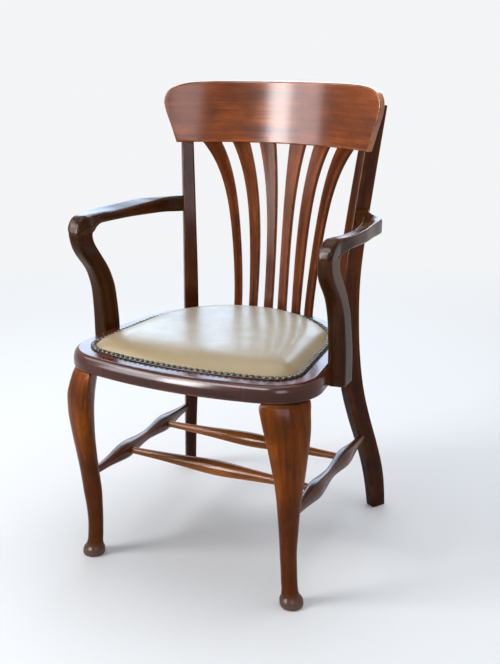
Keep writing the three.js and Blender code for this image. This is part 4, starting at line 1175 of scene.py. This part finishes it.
floor_mesh = bpy.data.meshes.new("floor")
corners = [(FLOOR_RADIUS * cos(a), FLOOR_RADIUS * sin(a), 0.0) for a in around(FLOOR_CORNERS)]
floor_mesh.from_pydata(corners, [], [tuple(range(FLOOR_CORNERS))])
floor = add_object("floor", floor_mesh)
# The floor keeps the chair's shadow and turns into the backdrop's colour further away
m = Nodes(bpy.data.materials.new("pale_floor"))
m.fill(m.shader, {"Base Color": (0.78, 0.785, 0.79), "Roughness": 0.85, "Specular IOR Level": 0.1})
distance = m.node("VectorMath", {0: m.node("NewGeometry", {})["Position"]}, operation="LENGTH")["Value"]
far = m.span(distance, *FLOOR_FADE, interpolation_type="SMOOTHSTEP")
m.surface("Material Output", m.math("MULTIPLY", far, m.seen()), m.node("Emission", {"Color": PALE})[0])
floor_mesh.materials.append(m.owner)

world = bpy.data.worlds.new("studio")
bpy.context.scene.world = world
m = Nodes(world, "Background")
m.fill(m.shader, {"Color": (0.93, 0.96, 1.0), "Strength": 0.55})
m.surface("World Output", m.seen(), m.node("Background", {"Color": PALE, "Strength": 1.0})[0])

# Lamps


def lamp(name, place, target, width, height, watts, color=(1, 1, 1)):
    light = bpy.data.lights.new(name, "AREA")
    light.shape = "RECTANGLE"
    light.size, light.size_y = width, height
    light.energy = watts
    light.color = color
    obj = add_object(name, light)
    obj.location = place
    obj.rotation_euler = (Vector(target) - Vector(place)).to_track_quat("-Z", "Y").to_euler()
    obj.visible_camera = False
    return obj


lamp("key", (-2.2, -2.0, 2.6), (0, 0, 0.5), 1.1, 1.1, 68)
lamp("sky", (0.2, 0.4, 3.4), (0, 0, 0.4), 2.6, 2.6, 55, (0.93, 0.96, 1.0))
lamp("behind", (-1.4, 3.2, 1.7), (0, 0, 0.6), 3.2, 1.5, 26, (0.7, 0.84, 1.0))
# These show only as sheen on polished faces
for sheen in (
    lamp("window", (-1.21, -2.96, 1.45), (0.05, 0.23, 0.86), 0.8, 1.9, 215, (0.97, 0.98, 1.0)),
    lamp("doorway", (-2.22, -2.51, 1.45), (0.05, 0.23, 0.86), 1.2, 1.9, 95, (0.93, 0.92, 1.0)),
    lamp("side", (-2.3, -0.8, 2.5), (0, -0.2, 0.44), 1.4, 1.4, 44, (0.93, 0.93, 1.0)),
    lamp("front", (-0.6, -2.3, 3.0), (0, -0.2, 0.4), 2.2, 1.4, 175, (0.88, 0.87, 1.0)),
    lamp("heaven", (-1.5, 3.4, 2.0), (0, 0, 0.6), 3.4, 1.8, 72, (0.44, 0.67, 1.0)),
    lamp("right", (1.73, -2.04, 1.47), (-0.2, 0.2, 0.8), 1.0, 0.9, 24, (0.9, 0.9, 1.0)),
):
    sheen.visible_diffuse = False

# Camera, as the photo's was solved from the chair's own symmetry

AZIMUTH, ELEVATION, ROLL = (radians(a) for a in (24.9995, 17.2199, 0.24656))
EYE = np.array([773.146, -1558.971, 990.600])
FOCAL_PIXELS = 917.892
PICTURE_HEIGHT = 664.0
SENSOR = 36.0

camera_data = bpy.data.cameras.new("camera")
camera_data.sensor_width = SENSOR
camera_data.lens = SENSOR * FOCAL_PIXELS / PICTURE_HEIGHT
camera_data.clip_start, camera_data.clip_end = 0.05, 60.0
camera = add_object("camera", camera_data)
camera.matrix_world = Matrix.Translation((EYE + AXIS_Y * SHIFT) * MM)
for turn, axis in ((AZIMUTH, "Z"), (QUARTER - ELEVATION, "X"), (ROLL, "Z")):
    camera.matrix_world = camera.matrix_world @ Matrix.Rotation(turn, 4, axis)
bpy.context.scene.camera = camera
bpy.context.scene.view_settings.view_transform = "Standard"
